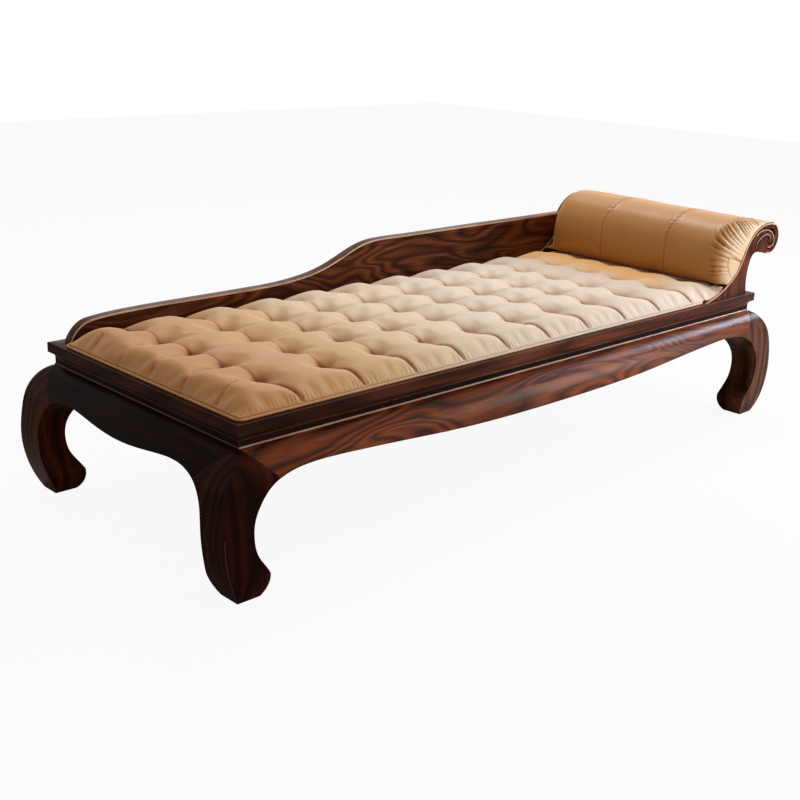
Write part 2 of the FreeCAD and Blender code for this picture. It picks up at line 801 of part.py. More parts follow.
def mattress_stations():
    """Places along Y with the height of the creases and of the pillow crowns there."""
    front = mattress_front + 2 * welt_radius - draw_in
    back = mattress_back - 2 * welt_radius + draw_in
    rise = pillow_height - edge_height
    deep = pillow_height - tuft_height
    rows = row_ys()
    lead = rows[0] - front
    tail = back - rows[-1]
    stations = [(front + lead * along, edge_height + rise * crease, edge_height + rise * crown)
                for along, crease, crown in front_edge_shares]
    for i, y in enumerate(rows):
        stations.append((y, tuft_height, pillow_height - deep * row_dip_share))
        if i < len(rows) - 1:
            stations.append((y + row_pitch / 2, tuft_height + deep * crease_rise_share, pillow_height))
    stations += [(back - tail * along, edge_height + rise * crease, edge_height + rise * crown)
                 for along, crease, crown in back_edge_shares]
    return stations


def mattress_section(y, crease, crown, drawn):
    side = 2 * welt_radius + welt_gap
    foot = mattress_foot_end + side + drawn
    head = mattress_head_end - side - drawn
    wall = bedding_height + 2 * welt_radius
    low_left = vector(foot, y, bedding_height)
    low_right = vector(head, y, bedding_height)
    wall_left = vector(foot, y, wall)
    wall_right = vector(head, y, wall)
    rise = crown - wall
    tips = [vector(x, y, crease) for x in tuft_xs()]
    tips[-1].z = min(crease, tuft_height)
    rest_rise = tips[-1].z - wall
    foot_shoulder = vector(foot + end_roll, y, wall + rise * foot_shoulder_share)
    head_shoulder = vector(head - end_roll / 2, y, wall + rest_rise * head_shoulder_share)
    edges = [straight(low_left, wall_left),
             bow(wall_left, vector(foot + end_roll / 4, y, wall + rise / 2), foot_shoulder)]
    for a, b in zip([foot_shoulder] + tips[:-2], tips[:-1]):
        edges.append(bow(a, vector((a.x + b.x) / 2, y, crown), b))
    edges.append(bow(tips[-2], vector((tips[-2].x + tips[-1].x) / 2, y, (crown + tips[-1].z) / 2), tips[-1]))
    edges.append(bow(tips[-1], vector((tips[-1].x + head_shoulder.x) / 2, y, tips[-1].z), head_shoulder))
    edges.append(bow(head_shoulder, vector(head - end_roll / 8, y, wall + rest_rise / 2), wall_right))
    edges += [straight(wall_right, low_right), straight(low_right, low_left)]
    return Part.Wire(edges)


def outline(inset, z):
    """Closed line round the mattress with round corners, stepping in behind the front cheek."""
    foot = mattress_foot_end + inset
    step = mattress_corner_x - inset
    head = mattress_head_end - inset
    front = mattress_front + inset
    step_front = mattress_corner_y + inset
    back = mattress_back - inset
    corners = [(foot, front), (step, front), (step, step_front)]
    corners += [(head, step_front), (head, back), (foot, back)]
    points = [vector(x, y, z) for x, y in corners]
    edges = []
    ends = []
    for i, point in enumerate(points):
        before = (points[i - 1] - point).normalize()
        after = (points[(i + 1) % len(points)] - point).normalize()
        hollow = before.cross(after).z > 0
        radius = hollow_corner_radius + inset if hollow else corner_radius - inset
        start = point + before * radius
        end = point + after * radius
        centre = point + (before + after) * radius
        middle = centre - (before + after).normalize() * radius
        edges.append(bow(start, middle, end))
        ends.append((start, end))
    for i, (start, end) in enumerate(ends):
        edges.append(straight(end, ends[(i + 1) % len(ends)][0]))
    return Part.Wire(Part.__sortEdges__(edges))


def make_mattress():
    rows = row_ys()
    wires = []
    for y, crease, crown in mattress_stations():
        drawn = draw_in if y in rows else -draw_in
        wires.append(mattress_section(y, crease, crown, drawn))
    sides = Part.Face(outline(2 * welt_radius + welt_gap, 0)).extrude(vector(0, 0, pillow_height + overrun))
    return Part.makeLoft(wires, True, False).common(sides).Solids[0]


def tube(path, radius):
    start = path.Edges[0]
    place = start.valueAt(start.FirstParameter)
    along = start.tangentAt(start.FirstParameter)
    ring = Part.Wire(Part.makeCircle(radius, place, along))
    return path.makePipeShell([ring], True, False)


# Bolster: D-shaped, lying in the headrest's curve, with long gathered ends and an end panel sewn on each

def headrest_line(y):
    """Line on the panel and over the roll that the bolster rests on, from its heel to its tip."""
    points = [point for point in panel_points(y, False) if point.z > bolster_low]
    over = roll_radius + soft_gap
    turn = math.degrees((bolster_tip_x - scroll_x) / roll_radius)
    points += [scroll_point(y, 90, over), scroll_point(y, 90 - turn, over)]
    return smooth([point + vector(-soft_gap, 0, 2 * soft_gap) for point in points])


def bolster_section(y, fullness, lift):
    width = bolster_tip_x - bolster_left
    height = bolster_top + lift - bolster_low
    skin = [vector(bolster_left + bolster_heel, y, bolster_low)]
    skin += [vector(bolster_left + width * along, y, bolster_low + height * up)
             for along, up in bolster_skin_shares]
    skin.append(vector(bolster_tip_x, y, bolster_tip_height))
    line = headrest_line(y)
    rest = line.discretize(len(skin))
    drawn = [back + (front - back) * fullness for front, back in zip(skin, rest)]
    return Part.Wire([smooth(drawn), straight(drawn[-1], rest[-1]), smooth(list(reversed(rest))),
                      straight(rest[0], drawn[0])])


def make_bolster():
    length = bolster_back - bolster_front
    ends = [(bolster_gather * along, fullness) for along, fullness in gather_shares]
    stations = ends + [(length - along, fullness) for along, fullness in reversed(ends)]
    wires = []
    for along, fullness in stations:
        lift = bolster_taper * (0.5 - along / length)
        wires.append(bolster_section(bolster_front + along, fullness, lift))
    return Part.makeLoft(wires, True, False)


def make_bolster_end(y, outwards):
    lift = -outwards * bolster_taper / 2
    face = Part.Face(bolster_section(y, gather_shares[0][1], lift))
    return face.extrude(vector(0, outwards * bolster_end_thickness, 0))


def make_bedding():
    save("mattress", make_mattress())
    save("mattress_welt", tube(outline(welt_radius, bedding_height + welt_radius), welt_radius))
    save("bolster", make_bolster())
    save("bolster_end_front", make_bolster_end(bolster_front, -1))
    save("bolster_end_rear", make_bolster_end(bolster_back, 1))


make_underframe()
make_waist()
make_frame()
make_seat_boards()
make_battens()
make_headrest()
make_backboard()
make_bedding()
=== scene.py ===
import json
import math
import bpy
import bmesh
import numpy as np
from mathutils import Matrix, Vector

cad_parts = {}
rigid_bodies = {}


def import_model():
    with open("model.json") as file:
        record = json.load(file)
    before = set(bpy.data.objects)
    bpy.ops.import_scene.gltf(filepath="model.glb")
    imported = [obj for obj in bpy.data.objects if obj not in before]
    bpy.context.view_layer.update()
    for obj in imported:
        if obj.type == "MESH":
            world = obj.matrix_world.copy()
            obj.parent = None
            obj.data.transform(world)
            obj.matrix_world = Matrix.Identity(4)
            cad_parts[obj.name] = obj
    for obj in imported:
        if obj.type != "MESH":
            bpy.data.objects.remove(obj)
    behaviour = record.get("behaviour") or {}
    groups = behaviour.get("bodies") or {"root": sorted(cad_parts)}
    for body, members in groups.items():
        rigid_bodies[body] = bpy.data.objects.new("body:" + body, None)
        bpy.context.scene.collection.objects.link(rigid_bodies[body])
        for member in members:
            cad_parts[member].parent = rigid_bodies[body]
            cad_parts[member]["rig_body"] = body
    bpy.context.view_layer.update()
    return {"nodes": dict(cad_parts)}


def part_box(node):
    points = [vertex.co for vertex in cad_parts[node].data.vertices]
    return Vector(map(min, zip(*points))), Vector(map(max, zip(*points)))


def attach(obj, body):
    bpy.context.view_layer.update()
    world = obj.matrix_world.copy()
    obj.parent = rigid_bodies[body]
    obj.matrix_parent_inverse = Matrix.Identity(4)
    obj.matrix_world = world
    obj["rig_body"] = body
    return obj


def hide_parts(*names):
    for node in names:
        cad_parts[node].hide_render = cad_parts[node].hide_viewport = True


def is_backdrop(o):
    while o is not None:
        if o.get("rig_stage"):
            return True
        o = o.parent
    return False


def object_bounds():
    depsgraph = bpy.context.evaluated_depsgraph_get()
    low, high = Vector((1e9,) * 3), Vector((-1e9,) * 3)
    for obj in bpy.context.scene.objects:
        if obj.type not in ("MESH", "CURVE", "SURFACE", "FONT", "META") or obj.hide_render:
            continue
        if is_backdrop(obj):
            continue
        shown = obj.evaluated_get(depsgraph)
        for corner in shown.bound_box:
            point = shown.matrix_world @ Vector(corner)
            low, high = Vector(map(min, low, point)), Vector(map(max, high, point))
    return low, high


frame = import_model()
nodes = frame["nodes"]


# Legs: four bulging hoof legs, each sawn from one thick rosewood post and shaved to the curve.
# The grain stands upright, and the neck on top carries the tenon for the seat frame.
# The turned and planed faces are rubbed down and lacquered, so the curves shine and the edges are crisp.

def linear(colour):
    """The shader value of an sRGB colour written in hex."""
    values = [int(colour[i:i + 2], 16) / 255 for i in (1, 3, 5)]
    return [v / 12.92 if v <= 0.04045 else ((v + 0.055) / 1.055) ** 2.4 for v in values] + [1.0]


def add_node(tree, kind, inputs=None, stops=(), **settings):
    """A shader node with its settings, its inputs as numbers, colours or links, and a ramp's stops as places
    and hex colours."""
    node = tree.nodes.new(kind)
    for name, value in settings.items():
        setattr(node, name, value)
    for name, value in (inputs or {}).items():
        if isinstance(value, bpy.types.NodeSocket):
            tree.links.new(value, node.inputs[name])
        else:
            node.inputs[name].default_value = value
    if stops:
        while len(node.color_ramp.elements) < len(stops):
            node.color_ramp.elements.new(0.5)
        for element, (place, colour) in zip(node.color_ramp.elements, stops):
            element.position = place
            element.color = linear(colour)
    return node


def new_material(name):
    """A material with nothing but its shader, and its node tree."""
    material = bpy.data.materials.new(name)
    material.use_nodes = True
    tree = material.node_tree
    tree.nodes.clear()
    surface = add_node(tree, "ShaderNodeBsdfPrincipled")
    add_node(tree, "ShaderNodeOutputMaterial", {"Surface": surface.outputs["BSDF"]})
    return material, tree, surface


def rosewood(name, along, shades, seed, figure=5.0, bands=26.0, swirl=0.08, straight=0.16,
             roughness=0.3, gloss=0.05, painted_light_ends=None):
    """Lacquered rosewood. Its growth rings show as thin dark lines in red-brown wood, 6 to 15 mm apart, that
    run along the grain or swirl across a board, its pores as fine dark dashes, and the lacquer gives a soft
    gloss. The last argument, if given, is painted light along a long board: how bright it is painted at its
    foot and at its head, and where the second is reached, for the less or more light that falls there."""
    material, tree, surface = new_material(name)
    place = add_node(tree, "ShaderNodeTexCoord").outputs["Object"]
    stretch = [1.0, 1.0, 1.0]
    stretch[along] = straight
    start = (seed, 2 * seed, 3 * seed)
    grain = add_node(tree, "ShaderNodeMapping",
                     {"Vector": place, "Scale": stretch, "Location": start}).outputs["Vector"]
    bend = add_node(tree, "ShaderNodeTexNoise",
                    {"Vector": grain, "Scale": 7.0, "Detail": 1.0}).outputs["Color"]
    bend = add_node(tree, "ShaderNodeVectorMath", {0: bend, 1: (0.5, 0.5, 0.5)},
                    operation="SUBTRACT").outputs[0]
    bend = add_node(tree, "ShaderNodeVectorMath", {0: bend, "Scale": swirl}, operation="SCALE").outputs[0]
    bent = add_node(tree, "ShaderNodeVectorMath", {0: grain, 1: bend}, operation="ADD").outputs[0]
    growth = add_node(tree, "ShaderNodeTexNoise",
                      {"Vector": bent, "Scale": figure, "Detail": 1.5, "Roughness": 0.35}).outputs["Fac"]
    rings = add_node(tree, "ShaderNodeMath", {0: growth, 1: bands}, operation="MULTIPLY").outputs[0]
    rings = add_node(tree, "ShaderNodeMath", {0: rings, 1: 1.0}, operation="PINGPONG").outputs[0]
    rings = add_node(tree, "ShaderNodeMath", {0: rings, 1: 0.6}, operation="POWER").outputs[0]
    fine_stretch = [1.0, 1.0, 1.0]
    fine_stretch[along] = 0.04
    fine = add_node(tree, "ShaderNodeMapping", {"Vector": place, "Scale": fine_stretch}).outputs["Vector"]
    streaks = add_node(tree, "ShaderNodeTexNoise",
                       {"Vector": fine, "Scale": 130.0, "Detail": 3.0, "Roughness": 0.6}).outputs["Fac"]
    pores = add_node(tree, "ShaderNodeTexNoise",
                     {"Vector": fine, "Scale": 650.0, "Detail": 1.0}).outputs["Fac"]
    cloud = add_node(tree, "ShaderNodeTexNoise",
                     {"Vector": grain, "Scale": 3.4, "Detail": 2.0}).outputs["Fac"]
    tone = add_node(tree, "ShaderNodeMath", {0: rings, 1: 0.5}, operation="MULTIPLY").outputs[0]
    tone = add_node(tree, "ShaderNodeMath", {0: streaks, 1: 0.6, 2: tone},
                    operation="MULTIPLY_ADD").outputs[0]
    tone = add_node(tree, "ShaderNodeMath", {0: cloud, 1: 1.3, 2: tone},
                    operation="MULTIPLY_ADD").outputs[0]
    tone = add_node(tree, "ShaderNodeMapRange",
                    {"Value": tone, "From Min": 0.78, "From Max": 1.72}).outputs[0]
    colour = add_node(tree, "ShaderNodeValToRGB", {"Fac": tone}, stops=shades).outputs["Color"]
    shade = add_node(tree, "ShaderNodeMapRange",
                     {"Value": pores, "From Min": 0.30, "From Max": 0.42,
                      "To Min": 0.7, "To Max": 1.0}).outputs[0]
    colour = add_node(tree, "ShaderNodeVectorMath", {0: colour, "Scale": shade}, operation="SCALE").outputs[0]
    if painted_light_ends:
        foot_light_share, head_light_share, head_place = painted_light_ends
        along_x = add_node(tree, "ShaderNodeSeparateXYZ", {"Vector": place}).outputs["X"]
        painted_light_scale = add_node(tree, "ShaderNodeMapRange",
                        {"Value": along_x, "From Min": -0.9, "From Max": head_place,
                         "To Min": foot_light_share, "To Max": head_light_share}).outputs[0]
        colour = add_node(tree, "ShaderNodeVectorMath", {0: colour, "Scale": painted_light_scale},
                          operation="SCALE").outputs[0]
    tree.links.new(colour, surface.inputs["Base Color"])
    bump = add_node(tree, "ShaderNodeBump", {"Height": pores, "Strength": 0.05, "Distance": 0.0005})
    tree.links.new(bump.outputs["Normal"], surface.inputs["Normal"])
    surface.inputs["Roughness"].default_value = roughness
    surface.inputs["IOR"].default_value = 1.5
    surface.inputs["Specular IOR Level"].default_value = gloss
    return material


def rubbed(name, shades, roughness):
    """A smooth, slightly glossy finish in two tones with a little mottle. It serves arrises and beads that
    handling and polish have made paler, and painted highlights and painted shade on beads and carving.
    """
    material, tree, surface = new_material(name)
    place = add_node(tree, "ShaderNodeTexCoord").outputs["Object"]
    tone = add_node(tree, "ShaderNodeTexNoise",
                    {"Vector": place, "Scale": 14.0, "Detail": 2.0}).outputs["Fac"]
    colour = add_node(tree, "ShaderNodeValToRGB", {"Fac": tone},
                      stops=((0.2, shades[0]), (0.8, shades[1]))).outputs["Color"]
    tree.links.new(colour, surface.inputs["Base Color"])
    surface.inputs["Roughness"].default_value = roughness
    surface.inputs["Specular IOR Level"].default_value = 0.2
    return material


# Pale arris strips: wear from hands and polish, and a painted highlight on the edges the light catches.
arris_wear_and_highlight = rubbed("rosewood_arris_worn_and_painted_highlight", ("#6e4330", "#9a6f56"), 0.35)


def dress(obj, material):
    """Gives a piece one finish all over."""
    for place in obj.material_slots:
        place.material = material
    if not obj.material_slots:
        obj.data.materials.append(material)


def placed(name, data):
    """A new object in the scene."""
    piece = bpy.data.objects.new(name, data)
    bpy.context.scene.collection.objects.link(piece)
    return piece


def choose(piece):
    """Makes a piece the one that is worked on."""
    bpy.ops.object.select_all(action="DESELECT")
    bpy.context.view_layer.objects.active = piece
    piece.select_set(True)


def welded(node, name):
    """The CAD node's form as one piece in its place, its triangles joined at their corners."""
    piece = placed(name, nodes[node].data.copy())
    choose(piece)
    bpy.ops.object.mode_set(mode="EDIT")
    bpy.ops.mesh.select_all(action="SELECT")
    bpy.ops.mesh.remove_doubles(threshold=0.00002)
    bpy.ops.object.mode_set(mode="OBJECT")
    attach(piece, nodes[node]["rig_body"])
    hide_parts(node)
    return piece


def finished(piece, material, angle=20.0, arris=0.0011, rubs=lambda centre: True):
    """Smooths a welded piece's curves and eases its edges a little. The eased strips that the given test
    picks
    are paler: partly wear from hands and polish, partly a painted highlight on edges the light catches."""
    flat_angle = math.radians(0.2)
    edge_angle = math.radians(38)
    strip_width = 0.7 * arris
    mesh = piece.data
    mesh.materials.clear()
    mesh.materials.append(material)
    choose(piece)
    pale_strip_faces = []
    if arris:
        bpy.ops.object.mode_set(mode="EDIT")
        bpy.ops.mesh.select_mode(type="EDGE")
        bpy.ops.mesh.select_all(action="SELECT")
        bpy.ops.mesh.dissolve_limited(angle_limit=flat_angle)
        bpy.ops.mesh.select_all(action="DESELECT")
        bpy.ops.mesh.edges_select_sharp(sharpness=edge_angle)
        bpy.ops.mesh.bevel(offset=arris, segments=2, profile=0.6, clamp_overlap=True)
        bpy.ops.object.mode_set(mode="OBJECT")
        for face in mesh.polygons:
            corners = [mesh.vertices[index].co for index in face.vertices]
            girth = sum((a - b).length for a, b in zip(corners, corners[1:] + corners[:1]))
            if face.select and face.area < strip_width * girth / 2 and rubs(face.center):
                pale_strip_faces.append(face.index)
    if pale_strip_faces:
        mesh.materials.append(arris_wear_and_highlight)
    for index in pale_strip_faces:
        mesh.polygons[index].material_index = 1
    bpy.ops.object.shade_smooth_by_angle(angle=math.radians(angle))
    return piece


def smoothed(node, name, material, **finish):
    """A CAD node's form, welded and finished."""
    return finished(welded(node, name), material, **finish)


leg_shades = ((0.0, "#160602"), (0.35, "#270e05"), (0.6, "#3e180a"), (0.85, "#572812"), (1.0, "#6b361b"))
rosewood_upright = rosewood("rosewood_lacquered_upright_grain", 2, leg_shades, 1.3, bands=30.0, swirl=0.02,
                            straight=0.10, gloss=0.025)
# The two posts at the headrest end are painted in paler tones, painted light for the light that falls on that
# end.
painted_lit_leg_shades = ((0.0, "#1c0b05"), (0.35, "#371b0f"), (0.6, "#55301e"), (0.85, "#74482f"), (1.0, "#8a5c42"))
rosewood_upright_painted_lit = rosewood("rosewood_lacquered_upright_painted_lit_posts", 2, painted_lit_leg_shades, 2.9,
                                 bands=30.0, swirl=0.02, straight=0.10, gloss=0.06)
# Only the eased strips low on the hoof are paler: wear, and a painted highlight where the light catches them.
hoof_height = 0.165
for corner, wood in (("front_left", rosewood_upright), ("front_right", rosewood_upright_painted_lit),
                     ("back_left", rosewood_upright), ("back_right", rosewood_upright_painted_lit)):
    leg = smoothed("leg_" + corner, "hoof_leg_" + corner, wood, rubs=lambda centre: centre.z < hoof_height)


# Aprons: four swelling rosewood boards with a shallow belly, mitred to the legs.
# The two long ones were chosen for their figure, with dark and orange-brown swirls along the board.

figure_shades = ((0.0, "#180703"), (0.22, "#331408"), (0.5, "#60290f"), (0.78, "#8b441f"),
                 (1.0, "#a45c30"))
# The cross aprons have far darker tones than the long ones: plainer wood, and painted shade for the ends that
# stay out of the light.
side_shades = ((0.0, "#080201"), (0.4, "#120502"), (0.7, "#1d0b04"), (1.0, "#2f1408"))
figured_long = rosewood("rosewood_lacquered_swirling_figure", 0, figure_shades, 4.1, figure=7.0,
                        bands=40.0, swirl=0.2, straight=0.2, gloss=0.09)
figured_cross = rosewood("rosewood_lacquered_cross_apron", 1, side_shades, 2.2, gloss=0.02)
for side, wood in (("front", figured_long), ("back", figured_long), ("left", figured_cross),
                   ("right", figured_cross)):
    apron = smoothed("apron_" + side, "swelling_apron_" + side, wood, rubs=lambda centre: False)


# Waist: four low strips set back between the aprons and the seat frame, in the darkest wood.
# Each is a plain strip with a thin bead worked along its foot. The bead is painted pale on the front strip, a
# painted highlight, and dark on the other three, painted shade.

def mark_faces(piece, material, chosen):
    """Gives the faces whose centre is chosen a second finish."""
    piece.data.materials.append(material)
    number = len(piece.data.materials) - 1
    for face in piece.data.polygons:
        if chosen(face.center):
            face.material_index = number


waist_shades = ((0.0, "#0d0503"), (0.5, "#1d0d07"), (1.0, "#351a0e"))
waist_long = rosewood("rosewood_waist_along", 0, waist_shades, 0.4, gloss=0.03)
waist_cross = rosewood("rosewood_waist_across", 1, waist_shades, 0.9, gloss=0.02)
waist_bead_painted_highlight = rubbed("rosewood_bead_painted_highlight", ("#a88068", "#d0b09a"), 0.25)
bead_height = 0.0046
bead_painted_shade = rubbed("rosewood_bead_painted_shade", ("#2c1810", "#4c3022"), 0.3)
for side, wood, bead in (("front", waist_long, waist_bead_painted_highlight), ("back", waist_long, bead_painted_shade),
                         ("left", waist_cross, bead_painted_shade), ("right", waist_cross, bead_painted_shade)):
    strip = smoothed("waist_" + side, "waist_strip_" + side, wood)
    bead_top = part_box("waist_" + side)[0].z + bead_height
    mark_faces(strip, bead, lambda centre: centre.z < bead_top)


# Seat frame: two long and two short rosewood members, mitred and tenoned at the corners.
# The fascia is flat with a hollow under it, and its arrises are paler brown: rubbed through, and a painted
# highlight. The long rails are painted paler towards the headrest end, painted light.

frame_shades = ((0.0, "#1f0d06"), (0.4, "#3c1a0d"), (0.7, "#5b2e1b"), (1.0, "#77462f"))
frame_long = rosewood("rosewood_frame_along", 0, frame_shades, 3.3,
                      painted_light_ends=(0.85, 2.0, 0.95))
frame_cross = rosewood("rosewood_frame_across", 1, frame_shades, 5.3, gloss=0.025)
for name, wood in (("frame_rail_front", frame_long), ("frame_rail_back", frame_long),
                   ("frame_end_left", frame_cross), ("frame_end_right", frame_cross)):
    member = smoothed(name, "seat_" + name, wood)


# Seat boards and battens: planks under the mattress that float in the frame's groove, and the battens
# that hold them flat from below. They are sawn and planed and left without lacquer.

board_shades = ((0.0, "#2c170d"), (0.5, "#4a2918"), (1.0, "#6b4128"))
board_wood = rosewood("rosewood_planed_board", 0, board_shades, 7.7, roughness=0.5)
batten_wood = rosewood("rosewood_planed_batten", 1, board_shades, 8.7, roughness=0.55)
for number in range(1, 5):
    dress(nodes["seat_board_" + str(number)], board_wood)
for number in range(1, 6):
    dress(nodes["seat_batten_" + str(number)], batten_wood)


# Backboard: one shaped board with a bold swirling figure, low at the foot end and rising in an S to the
# headrest, and painted darker towards the foot end, painted shade. A thin bead runs along its top front
# edge, polished pale and painted paler still as a highlight. Loose tenons hold it on the rail.

backboard_shades = ((0.0, "#180a05"), (0.22, "#2c160c"), (0.5, "#4d2817"), (0.78, "#723f26"),
                    (1.0, "#8d5636"))
backboard_wood = rosewood("rosewood_lacquered_backboard", 0, backboard_shades, 6.2, figure=6.0,
                          bands=40.0, swirl=0.24, straight=0.24, painted_light_ends=(0.42, 1.1, 0.1))
bead_polish_and_highlight = rubbed("rosewood_bead_polished_and_painted_highlight", ("#b98f72", "#e2c4a8"), 0.25)
bead_proud = 0.002
beyond_face = 0.0003
backboard_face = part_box("backboard")[0].y + bead_proud
backboard = smoothed("backboard", "shaped_backboard", backboard_wood, angle=26.0)
mark_faces(backboard, bead_polish_and_highlight, lambda centre: centre.y < backboard_face - beyond_face)
dress(nodes["backboard_tenons"], board_wood)


# Headrest: two cheeks sawn to an S-scroll, with a bead along the inner edge and a spiral carved in each face,
# thin ridges beside round hollows. Between the cheeks are a curved board and a rolled top rail.
# The grain of the cheeks stands upright.

headrest_shades = ((0.0, "#1c0a05"), (0.4, "#3f1a0d"), (0.7, "#65311b"), (1.0, "#804a2d"))
cheek_wood = rosewood("rosewood_lacquered_cheek", 2, headrest_shades, 9.1, swirl=0.03, straight=0.12)
rest_wood = rosewood("rosewood_lacquered_headrest", 1, headrest_shades, 9.9)


def through(marks, count):
    """Evenly spaced points on a smooth line through the marks."""
    marks = np.array(marks, float)
    ends = [2 * marks[0] - marks[1], *marks, 2 * marks[-1] - marks[-2]]
    line = []
    for a, b, c, d in zip(ends, ends[1:], ends[2:], ends[3:]):
        for t in np.linspace(0, 1, 24, endpoint=False):
            line.append(0.5 * (2 * b + (c - a) * t + (2 * a - 5 * b + 4 * c - d) * t ** 2
                               + (3 * b - a - 3 * c + d) * t ** 3))
    line.append(marks[-1])
    line = np.array(line)
    run = np.concatenate([[0], np.cumsum(np.linalg.norm(np.diff(line, axis=0), axis=1))])
    want = np.linspace(0, run[-1], count)
    return np.stack([np.interp(want, run, line[:, i]) for i in range(line.shape[1])], axis=1)


def rod(name, points, radius, material):
    """A round rod along a line of points."""
    data = bpy.data.curves.new(name, "CURVE")
    data.dimensions = "3D"
    data.bevel_depth = radius
    data.bevel_resolution = 2
    data.use_fill_caps = True
    line = data.splines.new("POLY")
    line.points.add(len(points) - 1)
    for place, point in zip(line.points, points):
        place.co = (*point, 1)
    choose(placed(name, data))
    bpy.ops.object.convert(target="MESH")
    piece = bpy.context.view_layer.objects.active
    piece.data.materials.clear()
    piece.data.materials.append(material)
    return piece


def aside(line, distance):
    """A flat line moved sideways."""
    along = np.gradient(line, axis=0)
    along /= np.linalg.norm(along, axis=1, keepdims=True)
    return line + distance * np.stack([-along[:, 1], along[:, 0]], axis=1)


# The carved hollows are painted dark, painted shade, and the carved ridges pale, a painted highlight.
hollow_painted_shade = rubbed("rosewood_carving_painted_shade", ("#200c07", "#34160c"), 0.4)
ridge_painted_highlight = rubbed("rosewood_carved_ridge_painted_highlight", ("#c49a82", "#ecd0bc"), 0.25)
outer_turn = through(((-0.086, 0.015), (-0.068, 0.023), (-0.047, 0.028), (-0.022, 0.027), (0.0, 0.020),
                      (0.016, 0.007), (0.024, -0.010), (0.018, -0.024), (0.003, -0.030), (-0.010, -0.028)),
                     60)
inner_turn = through(((-0.079, -0.028), (-0.076, -0.012), (-0.064, 0.0), (-0.045, 0.009), (-0.024, 0.0125),
                      (-0.008, 0.009), (0.001, -0.001)), 40)
scroll_radius = 0.049
hollow_radius = 0.0027
ridge_radius = 0.0014
groove_depth = 0.0035
groove_reach = 0.043
crown_before_centre = 0.012
for side in ("front", "rear"):
    node = "headrest_cheek_" + side
    low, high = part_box(node)
    middle = (low.y + high.y) / 2
    plate = (high.y - low.y) / 2 - bead_proud
    scroll_x = high.x - scroll_radius
    scroll_z = high.z - scroll_radius
    cheek = welded(node, "scroll_cheek_" + side)
    shape = bmesh.new()
    shape.from_mesh(cheek.data)
    plain = []
    for face in shape.faces:
        centre = face.calc_center_median()
        inside = plate - abs(centre.y - middle)
        from_scroll = math.hypot(centre.x - scroll_x, centre.z - scroll_z)
        if 0.0001 < inside < groove_depth and from_scroll < groove_reach:
            plain.append(face)
    bmesh.ops.delete(shape, geom=plain, context="FACES")
    bmesh.ops.holes_fill(shape, edges=[edge for edge in shape.edges if edge.is_boundary])
    shape.to_mesh(cheek.data)
    shape.free()
    # Only the eased strips before the scroll and the bead up to the scroll's crown are painted pale, a
    # painted highlight where the light reaches; beyond, they stay dark in the shade.
    finished(cheek, cheek_wood, rubs=lambda centre: centre.x < scroll_x)
    crown = scroll_x - crown_before_centre
    outside = plate + beyond_face
    mark_faces(cheek, bead_polish_and_highlight, lambda centre: abs(centre.y - middle) > outside and centre.x < crown)
    ridges = [cheek]
    for face_y in (middle - plate, middle + plate):
        for turn, hollows in ((outer_turn, (0.0030,)), (inner_turn, (0.0036, -0.0036))):
            for distance in hollows:
                line = [(scroll_x + x, face_y, scroll_z + z) for x, z in aside(turn, distance)]
                cutter = rod("hollow_line", line, hollow_radius, hollow_painted_shade)
                hollow = cheek.modifiers.new("hollow", "BOOLEAN")
                hollow.operation = "DIFFERENCE"
                hollow.solver = "EXACT"
                hollow.material_mode = "TRANSFER"
                hollow.object = cutter
                bpy.context.view_layer.objects.active = cheek
                bpy.ops.object.modifier_apply(modifier="hollow")
                bpy.data.objects.remove(cutter)
            line = [(scroll_x + x, face_y, scroll_z + z) for x, z in turn]
            ridges.append(rod("ridge_line", line, ridge_radius, ridge_painted_highlight))
    bpy.ops.object.select_all(action="DESELECT")
    for piece in ridges:
        piece.select_set(True)
    bpy.context.view_layer.objects.active = cheek
    bpy.ops.object.join()
    bpy.ops.object.shade_smooth_by_angle(angle=math.radians(20))
for part in ("panel", "roll"):
    board = smoothed("headrest_" + part, "headrest_" + part + "_board", rest_wood)
dress(nodes["headrest_tenons"], board_wood)


# Mattress: a thin stuffed mattress in a smooth sand-coloured cloth, drawn into pillows by a grid of blind
# tufts. It is folded into a sharp crease from each outer tuft to the edge and gathered finely at the piping.
# At the head its front edge steps back behind the cheek, and it lies flat under the bolster.

seat_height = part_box("seat_board_1")[1].z
welt_low, welt_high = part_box("mattress_welt")
welt_space = 0.0064
foot_edge = welt_low.x + welt_space
head_edge = welt_high.x - welt_space
front_edge = welt_low.y + welt_space
back_edge = welt_high.y - welt_space

# The curve of the cheek's upper edge, as shares of its length and height, which the cloth clears.
cheek_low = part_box("headrest_cheek_front")[0]
cheek_shares = ((0.0, 0.0), (0.09, 0.035), (0.228, 0.092), (0.394, 0.203), (0.517, 0.331), (0.603, 0.486),
                (0.666, 0.67), (0.765, 0.849), (0.877, 0.953), (1.0, 1.0))
cheek_run = 0.302
cheek_rise = 0.212
cheek_curve = [(cheek_low.x + cheek_run * along, seat_height + cheek_rise * up) for along, up in cheek_shares]

# Where the step is, and the grid of tufts: eleven across, with the first bay a little wider, and five deep.
step_x = welt_low.x + 1.842
step_depth = 0.0325
step_line = welt_low.y + 0.036
foot_column = 0.151
column_last = welt_high.x - 0.087
column_pitch = (column_last - welt_low.x - 0.172) / 10
columns = np.array([welt_low.x + foot_column] + [column_last - column_pitch * i for i in range(9, -1, -1)])
row_first = welt_low.y + 0.124
row_last = welt_high.y - 0.0855
row_pitch = (row_last - row_first) / 4
rows = np.array([row_first + row_pitch * i for i in range(5)])
over_cheek = 0.0052
crease_lean = 0.026
foot_crease_lean = 0.028
tuft_height = seat_height + 0.029
pillow_swell = 0.019
edge_height = seat_height + 0.009
bolster_low, bolster_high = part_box("bolster")
bolster_floor = bolster_low.z
under_bolster = bolster_low.x - 0.012


